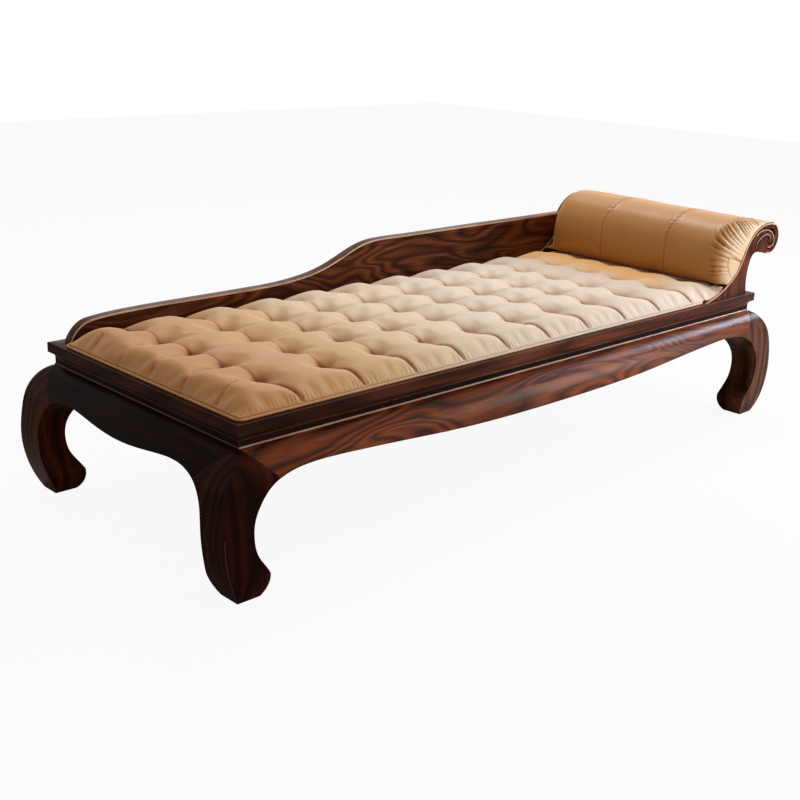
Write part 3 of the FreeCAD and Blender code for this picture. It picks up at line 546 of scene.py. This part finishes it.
def fabric(name, tones, sheen, fold_shade_tones, roughness=0.6, near_tones=None, highlight_tone=None, gloss=0.3,
           sheen_tint="#ffffff"):
    """Fine sateen: a smooth warp-faced cloth, so its threads are too fine to see, with a soft lustre. It is
    painted darker and warmer where it is drawn together, at the tufts, in the creases and along the seams:
    painted shade. The tones along the front, if given, are mixed in near the front, and the pale tone, if
    given, is painted where the cloth is stretched, a painted highlight."""
    material, tree, surface = new_material(name)
    place = add_node(tree, "ShaderNodeTexCoord").outputs["Object"]
    axis = add_node(tree, "ShaderNodeSeparateXYZ", {"Vector": place}).outputs["X"]
    along = add_node(tree, "ShaderNodeMapRange",
                     {"Value": axis, "From Min": -1.0, "From Max": 1.0}).outputs[0]
    colour = add_node(tree, "ShaderNodeValToRGB", {"Fac": along}, stops=tones).outputs["Color"]
    if near_tones:
        depth_axis = add_node(tree, "ShaderNodeSeparateXYZ", {"Vector": place}).outputs["Y"]
        far = add_node(tree, "ShaderNodeMapRange",
                       {"Value": depth_axis, "From Min": -0.36, "From Max": -0.18}).outputs[0]
        near_colour = add_node(tree, "ShaderNodeValToRGB", {"Fac": along}, stops=near_tones).outputs["Color"]
        colour = add_node(tree, "ShaderNodeMixRGB",
                          {"Fac": far, "Color1": near_colour, "Color2": colour}).outputs["Color"]
    if highlight_tone:
        highlight_share = add_node(tree, "ShaderNodeAttribute", attribute_name="stretched").outputs["Fac"]
        colour = add_node(tree, "ShaderNodeMixRGB",
                          {"Fac": highlight_share, "Color1": colour, "Color2": linear(highlight_tone)}).outputs["Color"]
    pinch = add_node(tree, "ShaderNodeAttribute", attribute_name="pinch").outputs["Fac"]
    fold_shade_stops = ((0.0, "#ffffff"), (0.5, fold_shade_tones[0]), (1.0, fold_shade_tones[1]))
    fold_shade_colour = add_node(tree, "ShaderNodeValToRGB", {"Fac": pinch}, stops=fold_shade_stops).outputs["Color"]
    colour = add_node(tree, "ShaderNodeVectorMath", {0: colour, 1: fold_shade_colour}, operation="MULTIPLY").outputs[0]
    tree.links.new(colour, surface.inputs["Base Color"])
    weave = add_node(tree, "ShaderNodeTexNoise",
                     {"Vector": place, "Scale": 900.0, "Detail": 2.0}).outputs["Fac"]
    bump = add_node(tree, "ShaderNodeBump", {"Height": weave, "Strength": 0.12, "Distance": 0.0004})
    tree.links.new(bump.outputs["Normal"], surface.inputs["Normal"])
    surface.inputs["Roughness"].default_value = roughness
    surface.inputs["Specular IOR Level"].default_value = gloss
    surface.inputs["Sheen Weight"].default_value = sheen
    surface.inputs["Sheen Tint"].default_value = linear(sheen_tint)
    surface.inputs["Sheen Roughness"].default_value = 0.4
    return material


def bay_share(values, marks):
    """Share of the way across a bay between two marks. It stops at half a pitch outside the outer marks."""
    pitch = marks[-1] - marks[-2]
    index = np.clip(np.searchsorted(marks, values) - 1, 0, len(marks) - 2)
    share = (values - marks[index]) / (marks[index + 1] - marks[index])
    share = np.where(values < marks[0], np.clip((marks[0] - values) / pitch, 0, 0.5), share)
    return np.where(values > marks[-1], np.clip((values - marks[-1]) / pitch, 0, 0.5), share)


def nearest(values, marks):
    """The mark nearest to each value."""
    return marks[np.argmin(np.abs(values[..., None] - marks), axis=-1)]


def mattress_heights(x, y, front):
    """Height of the stuffed cloth over a place on the seat."""
    to_front = np.clip((rows[0] - y) / (rows[0] - front_edge), 0, 1)
    to_back = np.clip((y - rows[-1]) / (back_edge - rows[-1]), 0, 1)
    to_foot = np.clip((columns[0] - x) / (columns[0] - foot_edge), 0, 1)
    crease_x = x - crease_lean * to_front ** 1.5
    crease_y = y + foot_crease_lean * to_foot ** 1.5
    column_rise = np.sin(math.pi * bay_share(crease_x, columns)) ** 0.6
    row_rise = np.sin(math.pi * bay_share(crease_y, rows)) ** 0.7
    outer = np.clip(3 * np.maximum(to_front, to_back), 0, 1)
    row_outer = np.clip(3 * to_foot, 0, 1)
    full = 1 - (0.13 + 0.37 * outer) * (1 - column_rise)
    full = full - 0.12 * (1 - 0.9 * row_outer) * (1 - row_rise)
    pit = np.exp(-(np.hypot(x - nearest(x, columns), y - nearest(y, rows)) / 0.031) ** 1.5)
    top = tuft_height + pillow_swell * np.maximum(full - 0.8 * pit, 0)
    head_side = np.clip((x - columns[-2]) / (columns[-1] - columns[-2]), 0, 1)
    rest = bolster_floor - 0.001
    top = np.where(x > under_bolster, np.minimum(top, rest), top - 0.12 * head_side ** 3 * (top - rest))
    side_y = np.clip(np.minimum(y - front, back_edge - y) / 0.10, 0, 1)
    side_x = np.clip(np.minimum(x - foot_edge, (head_edge - x) * 4) / 0.10, 0, 1)
    roll = (1 - (1 - side_y) ** 3.4) * (1 - (1 - side_x) ** 3.4)
    toe = np.interp(x, *np.array(cheek_curve[:5]).T)
    edge = np.where(y < step_line, np.maximum(edge_height, toe + 0.0016), edge_height)
    edge = np.minimum(edge, rest - 0.002)
    return edge + (np.maximum(top, edge) - edge) * roll


def grid_faces(number):
    """The quads of a grid of numbered points."""
    corners = [number[:-1, :-1], number[1:, :-1], number[1:, 1:], number[:-1, 1:]]
    return np.stack(corners, axis=-1).reshape(-1, 4)


def grid_piece(name, points):
    """A piece made of quads over a grid of points."""
    number = np.arange(points.shape[0] * points.shape[1]).reshape(points.shape[:2])
    mesh = bpy.data.meshes.new(name)
    mesh.from_pydata(points.reshape(-1, 3).tolist(), [], grid_faces(number).tolist())
    mesh.shade_smooth()
    return placed(name, mesh)


def seat_grid(count_x, count_y, finer):
    """Places over the mattress, closer together by its long edges, with its round corners and its step."""
    line_x = np.linspace(foot_edge, head_edge, count_x)
    share = np.linspace(0, 1, count_y)
    share = share - finer * np.sin(2 * math.pi * share)
    cut = 0.0106
    rounding = 0
    for depth in (line_x - foot_edge, head_edge - line_x):
        rounding = rounding + cut - np.sqrt(cut ** 2 - np.clip(cut - depth, 0, cut) ** 2)
    step = np.clip((line_x - step_x + 0.018) / 0.008, 0, 1)
    over = np.clip((line_x - cheek_low.x + 0.004) / 0.012, 0, 1)
    over = over * np.clip((step_x - 0.018 - line_x) / 0.012, 0, 1)
    front = front_edge - over_cheek * over + step * step * (3 - 2 * step) * step_depth
    low = (front + rounding)[:, None]
    high = np.broadcast_to(back_edge - rounding, front.shape)[:, None]
    y = low + (high - low) * share
    x = np.repeat(line_x[:, None], count_y, axis=1)
    return x, y, np.repeat(front[:, None], count_y, axis=1)


def cubic_weights(places, count):
    """Weights that carry values from evenly spaced stations to places between them, on smooth curves."""
    base = np.floor(places).astype(int)
    t = places - base
    parts = (-0.5 * t + t ** 2 - 0.5 * t ** 3, 1 - 2.5 * t ** 2 + 1.5 * t ** 3,
             0.5 * t + 2 * t ** 2 - 1.5 * t ** 3, -0.5 * t ** 2 + 0.5 * t ** 3)
    weights = np.zeros((len(places), count))
    for step, part in zip((-1, 0, 1, 2), parts):
        np.add.at(weights, (np.arange(len(places)), np.clip(base + step, 0, count - 1)), part)
    return weights


def settle(points, held, spare, pressure, frames, furthest):
    """How far a stuffed cloth moves from its cut shape when it is a little larger and held at its stitches,
    and never further than the given way."""
    piece = grid_piece("cloth", points)
    group = piece.vertex_groups.new(name="stitched")
    group.add(np.flatnonzero(held.reshape(-1)).tolist(), 1.0, "REPLACE")
    cloth = piece.modifiers.new("cloth", "CLOTH")
    cloth.settings.vertex_group_mass = "stitched"
    cloth.settings.quality = 6
    cloth.settings.mass = 0.3
    cloth.settings.bending_stiffness = 4
    cloth.settings.air_damping = 4
    cloth.settings.use_pressure = True
    cloth.settings.uniform_pressure_force = pressure
    cloth.settings.shrink_min = -spare
    cloth.settings.effector_weights.gravity = 0
    cloth.collision_settings.use_collision = False
    cloth.point_cache.frame_end = frames
    for number in range(1, frames + 1):
        bpy.context.scene.frame_set(number)
    made = piece.evaluated_get(bpy.context.evaluated_depsgraph_get()).data
    flat = np.zeros(len(made.vertices) * 3)
    made.vertices.foreach_get("co", flat)
    bpy.context.scene.frame_set(1)
    bpy.data.objects.remove(piece)
    moved = flat.reshape(points.shape) - points
    for step in range(2):
        beside = moved[2:, 1:-1] + moved[:-2, 1:-1] + moved[1:-1, 2:] + moved[1:-1, :-2]
        corners = moved[2:, 2:] + moved[:-2, :-2] + moved[2:, :-2] + moved[:-2, 2:]
        moved[1:-1, 1:-1] = (moved[1:-1, 1:-1] * 4 + 2 * beside + corners) / 16
    return np.clip(moved, -furthest, furthest)


def ripple(values, length, seed):
    """A soft irregular wave between -1 and 1 with about that length."""
    chance = np.random.default_rng(seed)
    total = np.zeros_like(values)
    for ratio in (1.0, 1.37, 0.71):
        total += np.sin(2 * math.pi * values / (length * ratio) + chance.uniform(0, 2 * math.pi))
    return total / 3


def folds(values, length, seed):
    """Gathers: round ridges with sharp valleys between them, that far apart. 0 is a ridge, 1 a valley."""
    phase = math.pi * values / length + 1.1 * ripple(values, 5.3 * length, seed)
    return 1 - np.abs(np.sin(phase)) ** 0.55


def normals_of(points):
    """The directions square to a grid of points."""
    along = np.gradient(points, axis=0)
    across = np.gradient(points, axis=1)
    normal = np.cross(along, across)
    return normal / np.linalg.norm(normal, axis=-1, keepdims=True)


# The cut shape on a fine grid, moved as the stuffing moves the cloth.
coarse_count = (300, 116)
fine_count = (836, 114)
finer = 0.08
coarse_x, coarse_y, coarse_front = seat_grid(*coarse_count, 0.0)
fine_x, fine_y, fine_front = seat_grid(*fine_count, finer)
cushion = np.stack([fine_x, fine_y, mattress_heights(fine_x, fine_y, fine_front)], axis=-1)
start = np.stack([coarse_x, coarse_y, mattress_heights(coarse_x, coarse_y, coarse_front)], axis=-1)
tuft_radius = 0.0065
held = np.hypot(coarse_x - nearest(coarse_x, columns), coarse_y - nearest(coarse_y, rows)) < tuft_radius
held[[0, -1], :] = True
held[:, [0, -1]] = True
held |= coarse_x > under_bolster
moved = settle(start, held, spare=0.02, pressure=1.5, frames=20, furthest=0.005)
share_y = np.linspace(0, 1, fine_count[1])
share_y = share_y - finer * np.sin(2 * math.pi * share_y)
weights_x = cubic_weights(np.linspace(0, coarse_count[0] - 1, fine_count[0]), coarse_count[0])
weights_y = cubic_weights(share_y * (coarse_count[1] - 1), coarse_count[1])
cushion += np.einsum("ac,bd,cdk->abk", weights_x, weights_y, moved)

# What the thread draws in: a pit with short wrinkles at each tuft, the creases and the edges' gathers.
pit_depth = 0.014
pit_radius = 0.016
crease_depth = 0.0065
foot_crease_depth = 0.004
gather_pitch = 0.0118
foot_gather_pitch = 0.021
near_x = nearest(fine_x, columns)
near_y = nearest(fine_y, rows)
from_tuft = np.hypot(fine_x - near_x, fine_y - near_y)
turn = np.arctan2(fine_y - near_y, fine_x - near_x)
chance = 7.3 * near_x + 11.9 * near_y
radial = np.cos(7 * turn + 9 * np.sin(40 * chance)) * np.exp(-from_tuft / 0.016)
radial *= np.clip(from_tuft / 0.008, 0, 1)
depth = pit_depth * np.exp(-(from_tuft / pit_radius) ** 1.2) + 0.0026 * radial
to_front = np.clip((rows[0] - fine_y) / (rows[0] - front_edge), 0, 1)
to_back = np.clip((fine_y - rows[-1]) / (back_edge - rows[-1]), 0, 1)
to_foot = np.clip((columns[0] - fine_x) / (columns[0] - foot_edge), 0, 1)
crease_x = fine_x - crease_lean * to_front ** 1.5
beside = np.abs(crease_x - nearest(crease_x, columns))
long_crease = 0.16 + np.clip(6 * np.maximum(to_front, to_back), 0, 1) + np.exp(-from_tuft / 0.022)
crease = np.exp(-(beside / 0.0034) ** 1.3) * np.clip(long_crease, 0, 1)
depth += crease_depth * crease
crease_y = fine_y + foot_crease_lean * to_foot ** 1.5
below = np.abs(crease_y - nearest(crease_y, rows))
foot_crease = np.exp(-(below / 0.0036) ** 1.3) * np.clip(4 * to_foot, 0, 1)
depth += foot_crease_depth * foot_crease
from_front = fine_y - fine_front
reach = 0.016 + 0.006 * ripple(fine_x, 0.031, 3)
bunched = 0.45 + 0.75 * np.exp(-(beside / 0.032) ** 2)
gather_fade = np.exp(-(from_front / (reach * bunched ** 0.5)) ** 2)
depth += 0.0024 * bunched * folds(fine_x, gather_pitch, 5) * gather_fade
from_foot = fine_x - foot_edge
depth += 0.0022 * folds(fine_y, foot_gather_pitch, 8) * np.exp(-(from_foot / 0.022) ** 2)
border = np.minimum(np.minimum(from_front, back_edge - fine_y),
                    np.minimum(from_foot, head_edge - fine_x))
depth *= np.clip(border / 0.003, 0, 1)
# Painted shade: the cloth is painted darker and warmer in the pits at the tufts, in the creases and in the
# foot creases.
pinch = 0.5 * np.exp(-(from_tuft / 0.021) ** 1.6) + 0.4 * np.exp(-(from_tuft / 0.007) ** 2)
pinch = np.clip(pinch + 0.8 * crease * np.clip(border / 0.02, 0, 1) + 0.45 * foot_crease, 0, 1)
cushion -= depth[..., None] * normals_of(cushion)
flattened = np.minimum(cushion[..., 2], bolster_floor - 0.0008)
cushion[..., 2] = np.where(cushion[..., 0] > under_bolster, flattened, cushion[..., 2])
mattress = grid_piece("tufted_mattress", cushion)
mattress.data.attributes.new("pinch", "FLOAT", "POINT").data.foreach_set("value", pinch.reshape(-1))

# The cloth turns down at its border to the boards, behind the cheek where that stands in front of it.
shape = bmesh.new()
shape.from_mesh(mattress.data)
border = [edge for edge in shape.edges if edge.is_boundary]
made = bmesh.ops.extrude_edge_only(shape, edges=border)["geom"]
behind_cheek = step_line + 0.003
for vert in [item for item in made if isinstance(item, bmesh.types.BMVert)]:
    if vert.co.x > cheek_low.x - 0.002 and vert.co.y < behind_cheek:
        vert.co.y = behind_cheek
    else:
        vert.co.z -= 0.002
border = [edge for edge in shape.edges if edge.is_boundary]
made = bmesh.ops.extrude_edge_only(shape, edges=border)["geom"]
for vert in [item for item in made if isinstance(item, bmesh.types.BMVert)]:
    vert.co.z = seat_height + 0.0005
bmesh.ops.holes_fill(shape, edges=[edge for edge in shape.edges if edge.is_boundary])
bmesh.ops.recalc_face_normals(shape, faces=shape.faces)
shape.to_mesh(mattress.data)
shape.free()

# It is golden brown at the foot and paler towards the middle, with a gold row beside the bolster at the back,
# and all of
# this is painted light: painted shade at the foot, and painted shadow and warm bounce light from the bolster
# in the gold row, which fades out towards the front.
sand_and_painted_light_tones = ((0.0, "#bb8146"), (0.2, "#caa06d"), (0.34, "#d8bf9f"), (0.5, "#d9c5ae"), (0.795, "#d5c2af"),
              (0.835, "#dca866"), (1.0, "#b98148"))
near_tones = sand_and_painted_light_tones[:5] + ((0.86, "#d8c5b0"), (1.0, "#d0b899"))
sateen = fabric("sateen_sand_with_painted_light", sand_and_painted_light_tones, 0.25, ("#dba26c", "#74401c"),
                near_tones=near_tones)
dress(mattress, sateen)
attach(mattress, "mattress")
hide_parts("mattress")


# Piping: a cord covered in the mattress's cloth and sewn into the seam round its lower edge.
# It lies on the seat boards and steps back with the mattress at the cheek.

piping = smoothed("mattress_welt", "mattress_piping", sateen, angle=60.0, arris=0)


# Bolster: a fat head bolster in the same sateen, dyed camel, that fills the curve of the headrest. Two seams
# run round it. Its ends are gathered in short folds round a piped end panel, and the front end is stretched
# over the cheek's edge to its bead.

bolster_left = bolster_low.x
bolster_foot = bolster_floor
bolster_front = bolster_low.y
bolster_rear = bolster_high.y
skin_width = bolster_high.x - bolster_left
skin_height = bolster_high.z - 0.003 - bolster_foot

# Its section: the skin from the heel over the top to the tip, and back along the headrest. At the front end
# the underside follows the cheek's edge instead.
skin_shares = ((0.0, 0.224), (0.0, 0.443), (0.05, 0.693), (0.171, 0.885), (0.346, 0.984), (0.543, 1.0),
               (0.739, 0.958), (0.90, 0.90))
heel = (bolster_left + 0.042, bolster_foot)
tip = (bolster_high.x, bolster_foot + 0.8598 * skin_height)
skin = [heel, (bolster_left + 0.013, bolster_foot + 0.009)]
skin += [(bolster_left + skin_width * along, bolster_foot + skin_height * up) for along, up in skin_shares]
skin.append(tip)
skin_line = through(skin, 150)[:, :2]
panel_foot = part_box("headrest_panel")[0].x
rest_marks = [heel, (panel_foot + 0.0005, bolster_foot + 0.004), (panel_foot + 0.008, bolster_foot + 0.036),
              (panel_foot + 0.020, bolster_foot + 0.066), (panel_foot + 0.039, bolster_foot + 0.102),
              (panel_foot + 0.067, bolster_foot + 0.137), (panel_foot + 0.094, bolster_foot + 0.1545),
              (panel_foot + 0.168, bolster_foot + 0.1625), tip]
rest_line = through(rest_marks, 150)
clear_of_cheek = 0.0014
over_curve = [(bolster_left + 0.046, bolster_foot + 0.0003)]
for before, point, after in zip(cheek_curve[3:], cheek_curve[4:], cheek_curve[5:]):
    along = (Vector(after) - Vector(before)).normalized()
    over_curve.append((point[0] - clear_of_cheek * along.y, point[1] + clear_of_cheek * along.x))
crest_x, crest_z = cheek_curve[-1]
over_curve += [(crest_x, crest_z + 0.002), (crest_x + 0.037, crest_z + 0.002), tip]
over_line = through(over_curve, 150)

# The sections along its length, which close towards the two end panels.
length_count = 480
skin_count = 150
spread = np.linspace(0, 1, length_count)
spread = spread - 0.06 * np.sin(2 * math.pi * spread)
bead_y = cheek_low.y + 0.0010
along_y = bead_y + (bolster_rear - bead_y) * spread
from_front = along_y - bead_y
from_rear = bolster_rear - along_y
skin_share = np.clip((skin_line[:, 1] - bolster_foot) / skin_height, 0, 1)
front_turn = np.clip(from_front[:, None] / (0.028 + 0.032 * skin_share), 0, 1)
front_full = 0.035 + 0.965 * (1 - (1 - front_turn) ** 2.2) ** 0.72
rear_full = np.interp(from_rear, (0, 0.020, 0.045, 0.060, 0.070, 0.084),
                      (0.12, 0.34, 0.62, 0.86, 0.97, 1.0))
lift = 0.010 * (spread - 0.4)
skin_points = np.zeros((length_count, skin_count, 3))
for i in range(length_count):
    swollen = skin_line.copy()
    swollen[:, 1] += lift[i] * skin_share
    if spread[i] < 0.5:
        section = over_line + (swollen - over_line) * front_full[i][:, None]
    else:
        section = rest_line + (swollen - rest_line) * rear_full[i]
    skin_points[i, :, 0] = section[:, 0]
    skin_points[i, :, 1] = along_y[i]
    skin_points[i, :, 2] = section[:, 1]
run = np.concatenate([[0], np.cumsum(np.linalg.norm(np.diff(skin_line, axis=0), axis=1))])
skin_run = np.repeat(run[None, :], length_count, axis=0)
skin_y = np.repeat(along_y[:, None], skin_count, axis=1)
edge_fade = np.clip(np.minimum(skin_run, run[-1] - skin_run) / 0.02, 0, 1)
outward = -normals_of(skin_points)

# What the thread draws in: the gathers at both ends, the crease over the end panel and the two seams.
fold_pitch = 0.0155
fold_depth = 0.0085
sunk = np.zeros_like(skin_run)
# Painted shade: the skin is painted darker in the valleys of the end gathers, in the crease over the end
# panel and along the seams and their tucks.
painted_skin_shade = np.zeros_like(skin_run)
height_share = np.repeat(skin_share[None, :], length_count, axis=0)
height_share = height_share * np.clip(3.2 * skin_run / run[-1] - 0.5, 0, 1)
for distance, seed in ((skin_y - bead_y, 21), (bolster_rear - skin_y, 22)):
    turn_at = 0.029 - 0.007 * height_share + 0.006 * ripple(skin_run, 0.043, seed)
    width = 0.014 + 0.008 * height_share
    strength = np.exp(-((distance - turn_at) / width) ** 2) * np.clip(distance / 0.004, 0.0, 1)
    slope = -0.25 + 1.25 * height_share
    fold_run = skin_run - slope * distance
    valley = folds(fold_run, fold_pitch, seed)
    uneven = 1 + 0.8 * ripple(fold_run, 0.061, 9)
    sunk += fold_depth * (valley - 0.3) * strength * uneven
    painted_skin_shade = np.maximum(painted_skin_shade, np.clip(2.0 * valley - 0.8, 0, 1) * strength * uneven)
# Painted highlight: the skin is painted paler near the front bead, more so high up, where the light falls on
# the end.
from_bead = skin_y - bead_y
stretched = np.clip(1.3 - from_bead / (0.013 + 0.013 * height_share), 0, 1) * (0.8 + 0.2 * height_share)
panel_top = 0.294
panel_crease = np.exp(-((skin_run / run[-1] - panel_top) / 0.010) ** 2)
panel_crease = panel_crease * np.clip(1.3 - from_bead / 0.010, 0, 1)
sunk += 0.0022 * panel_crease
painted_skin_shade = np.maximum(painted_skin_shade, 0.6 * panel_crease)
upper = np.clip((skin_run - 0.30 * run[-1]) / (0.25 * run[-1]), 0, 1)
seam_places = ((0.067, 31), (-0.180, 32))
for place, seed in seam_places:
    beside = np.abs(skin_y - place)
    sunk += 0.0020 * np.exp(-(beside / 0.0022) ** 2) - 0.0010 * np.exp(-((beside - 0.010) / 0.006) ** 2)
    pucker = folds(skin_run + 0.3 * (skin_y - place), 0.019, seed) - 0.3
    sunk += (0.0005 + 0.0026 * upper) * pucker * np.exp(-(beside / 0.014) ** 1.4)
    painted_skin_shade = np.maximum(painted_skin_shade, 0.34 * np.exp(-(beside / 0.0020) ** 2))
    tuck = np.clip(2 * pucker, 0, 1) * np.exp(-(beside / 0.012) ** 2)
    painted_skin_shade = np.maximum(painted_skin_shade, 0.5 * upper * tuck)
middle_share = np.clip(np.minimum(skin_y - bolster_front, bolster_rear - skin_y) / 0.1, 0, 1)
sunk += 0.0012 * ripple(skin_y + 0.6 * skin_run, 0.21, 41) * middle_share
skin_points -= (sunk * edge_fade)[..., None] * outward

# The closed form: the skin and the underside joined all round.
rest_points = np.zeros((length_count, skin_count, 3))
rest_pair = np.where((skin_y < bolster_front)[..., None], over_line, rest_line)
rest_points[..., 0] = rest_pair[..., 0]
rest_points[..., 1] = skin_y
rest_points[..., 2] = rest_pair[..., 1]
ring = np.concatenate([skin_points, rest_points[:, -2:0:-4]], axis=1)
underside = np.zeros((length_count, ring.shape[1] - skin_count))
number = np.arange(ring.shape[0] * ring.shape[1]).reshape(ring.shape[:2])
following = np.roll(number, -1, axis=1)
faces = np.stack([number[:-1], following[:-1], following[1:], number[1:]], axis=-1).reshape(-1, 4)
bolster_mesh = bpy.data.meshes.new("head_bolster")
bolster_mesh.from_pydata(ring.reshape(-1, 3).tolist(), [],
                         faces.tolist() + [number[0].tolist()[::-1], number[-1].tolist()])
for name, values in (("pinch", np.clip(painted_skin_shade, 0, 1)), ("stretched", stretched)):
    values = np.concatenate([values, underside], axis=1).reshape(-1)
    bolster_mesh.attributes.new(name, "FLOAT", "POINT").data.foreach_set("value", values)
bolster = placed("head_bolster", bolster_mesh)
shape = bmesh.new()
shape.from_mesh(bolster_mesh)
bmesh.ops.remove_doubles(shape, verts=shape.verts, dist=0.00001)
bmesh.ops.recalc_face_normals(shape, faces=shape.faces)
shape.to_mesh(bolster_mesh)
shape.free()
bolster_mesh.shade_smooth()
# The camel is painted paler where the front end is stretched, a painted highlight, and darker in its folds
# and seams, painted shade.
camel = fabric("sateen_camel", ((0.0, "#ae742a"), (1.0, "#ae742a")), 0.7, ("#c08a5c", "#5f3216"), 0.42,
               highlight_tone="#dcbf98", gloss=0.5, sheen_tint="#ffdcae")
dress(bolster, camel)
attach(bolster, "bolster")
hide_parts("bolster")

# The front end panel's piping lies on the bolster's skin: how far in from the bead, and how far up the skin.
piping_marks = ((0.0095, 0.284), (0.0084, 0.248), (0.0072, 0.215), (0.0052, 0.181), (0.0028, 0.148),
                (0.0002, 0.112))
piping_radius = 0.0015
piping_line = []
for inward, share in through(piping_marks, 40):
    station = np.interp(bead_y + max(inward, 0), along_y, np.arange(length_count))
    place = share * (skin_count - 1)
    one, two = int(station), int(place)
    part, rest = station - one, place - two
    near = skin_points[one, two] * (1 - rest) + skin_points[one, two + 1] * rest
    far = skin_points[one + 1, two] * (1 - rest) + skin_points[one + 1, two + 1] * rest
    piping_line.append(near * (1 - part) + far * part)
for side in ("front", "rear"):
    end_panel = smoothed("bolster_end_" + side, "bolster_end_panel_" + side, camel, angle=40.0, arris=0)
    if side == "front":
        end_piping = rod("end_piping", piping_line, piping_radius, camel)
        # The end panel's piping is painted pale all over, a painted highlight.
        piping_highlight = end_piping.data.attributes.new("stretched", "FLOAT", "POINT")
        piping_highlight.data.foreach_set("value", [1.0] * len(end_piping.data.vertices))
        end_piping.select_set(True)
        end_panel.select_set(True)
        bpy.context.view_layer.objects.active = end_panel
        bpy.ops.object.join()
        bpy.ops.object.shade_smooth_by_angle(angle=math.radians(40))


# Camera: stands at eye height off the front foot corner and looks across the seat to the headrest.

yaw = math.radians(44.078)
pitch = math.radians(18.370)
roll = math.radians(1.844)
forward = Vector((math.sin(yaw) * math.cos(pitch), math.cos(yaw) * math.cos(pitch), -math.sin(pitch)))
level_right = Vector((math.cos(yaw), -math.sin(yaw), 0))
level_up = level_right.cross(forward)
right = math.cos(roll) * level_right + math.sin(roll) * level_up
up = -math.sin(roll) * level_right + math.cos(roll) * level_up
camera_data = bpy.data.cameras.new("camera")
focal_pixels = 1198
photo_width = 800
camera_data.sensor_width = 36
camera_data.lens = camera_data.sensor_width * focal_pixels / photo_width
camera = placed("camera", camera_data)
stand = Matrix.Translation((-2.3957, -2.2876, 1.2258))
camera.matrix_world = stand @ Matrix((right, up, -forward)).transposed().to_4x4()
bpy.context.scene.camera = camera


# Light and floor: a large soft lamp high over the headrest's end, a cooler one off its corner and a small
# warm one low in front of it, a pale room, and a pale floor that keeps the object's shadow.

def soft_lamp(name, place, aim, size, power, colour):
    """A rectangular lamp that shines from its place to its aim."""
    data = bpy.data.lights.new(name, "AREA")
    data.shape = "RECTANGLE"
    data.size, data.size_y = size
    data.energy = power
    data.color = linear(colour)[:3]
    lamp = placed(name, data)
    way = Vector(aim) - Vector(place)
    lamp.matrix_world = Matrix.Translation(place) @ way.to_track_quat("-Z", "Y").to_matrix().to_4x4()


soft_lamp("key_lamp", (1.5, 0.9, 4.0), (0.5, 0.0, 0.4), (1.8, 1.8), 110, "#fffaf4")
soft_lamp("side_lamp", (4.3, -1.4, 2.2), (0.7, -0.4, 0.3), (1.1, 0.7), 100, "#dfeaff")
soft_lamp("front_lamp", (2.0, -2.0, 0.75), (0.98, -0.4, 0.28), (0.8, 0.8), 30, "#fff4ea")

world = bpy.data.worlds.new("studio")
bpy.context.scene.world = world
world.use_nodes = True
tree = world.node_tree
tree.nodes.clear()
rays = add_node(tree, "ShaderNodeLightPath")
seen = add_node(tree, "ShaderNodeMath", {0: rays.outputs["Is Camera Ray"], 1: rays.outputs["Is Glossy Ray"]},
                operation="MAXIMUM").outputs[0]
seen = add_node(tree, "ShaderNodeMath", {0: seen, 1: rays.outputs["Is Transmission Ray"]},
                operation="MAXIMUM").outputs[0]
room_light = 0.33
strength = add_node(tree, "ShaderNodeMapRange",
                    {"Value": seen, "To Min": room_light, "To Max": 1.0}).outputs[0]
sky = add_node(tree, "ShaderNodeBackground", {"Color": (1, 1, 1, 1), "Strength": strength})
add_node(tree, "ShaderNodeOutputWorld", {"Surface": sky.outputs["Background"]})

floor_mesh = bpy.data.meshes.new("floor")
half = 9
floor_corners = [(-half, -half, 0), (half, -half, 0), (half, half, 0), (-half, half, 0)]
floor_mesh.from_pydata(floor_corners, [], [(0, 1, 2, 3)])
floor = placed("floor", floor_mesh)
floor_paint, tree, surface = new_material("floor_white_paint")
surface.inputs["Base Color"].default_value = linear("#c9c7c4")
surface.inputs["Roughness"].default_value = 0.9
rays = add_node(tree, "ShaderNodeLightPath")
glow = add_node(tree, "ShaderNodeEmission", {"Color": (1, 1, 1, 1), "Strength": 1.0})
share_seen = add_node(tree, "ShaderNodeMath", {0: rays.outputs["Is Camera Ray"], 1: 0.93},
                      operation="MULTIPLY").outputs[0]
blend = add_node(tree, "ShaderNodeMixShader", {0: share_seen, 1: surface.outputs["BSDF"],
                                               2: glow.outputs["Emission"]})
output = [node for node in tree.nodes if node.type == "OUTPUT_MATERIAL"][0]
tree.links.new(blend.outputs[0], output.inputs["Surface"])
dress(floor, floor_paint)
floor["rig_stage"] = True

bpy.context.scene.view_settings.view_transform = "Standard"
low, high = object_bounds()
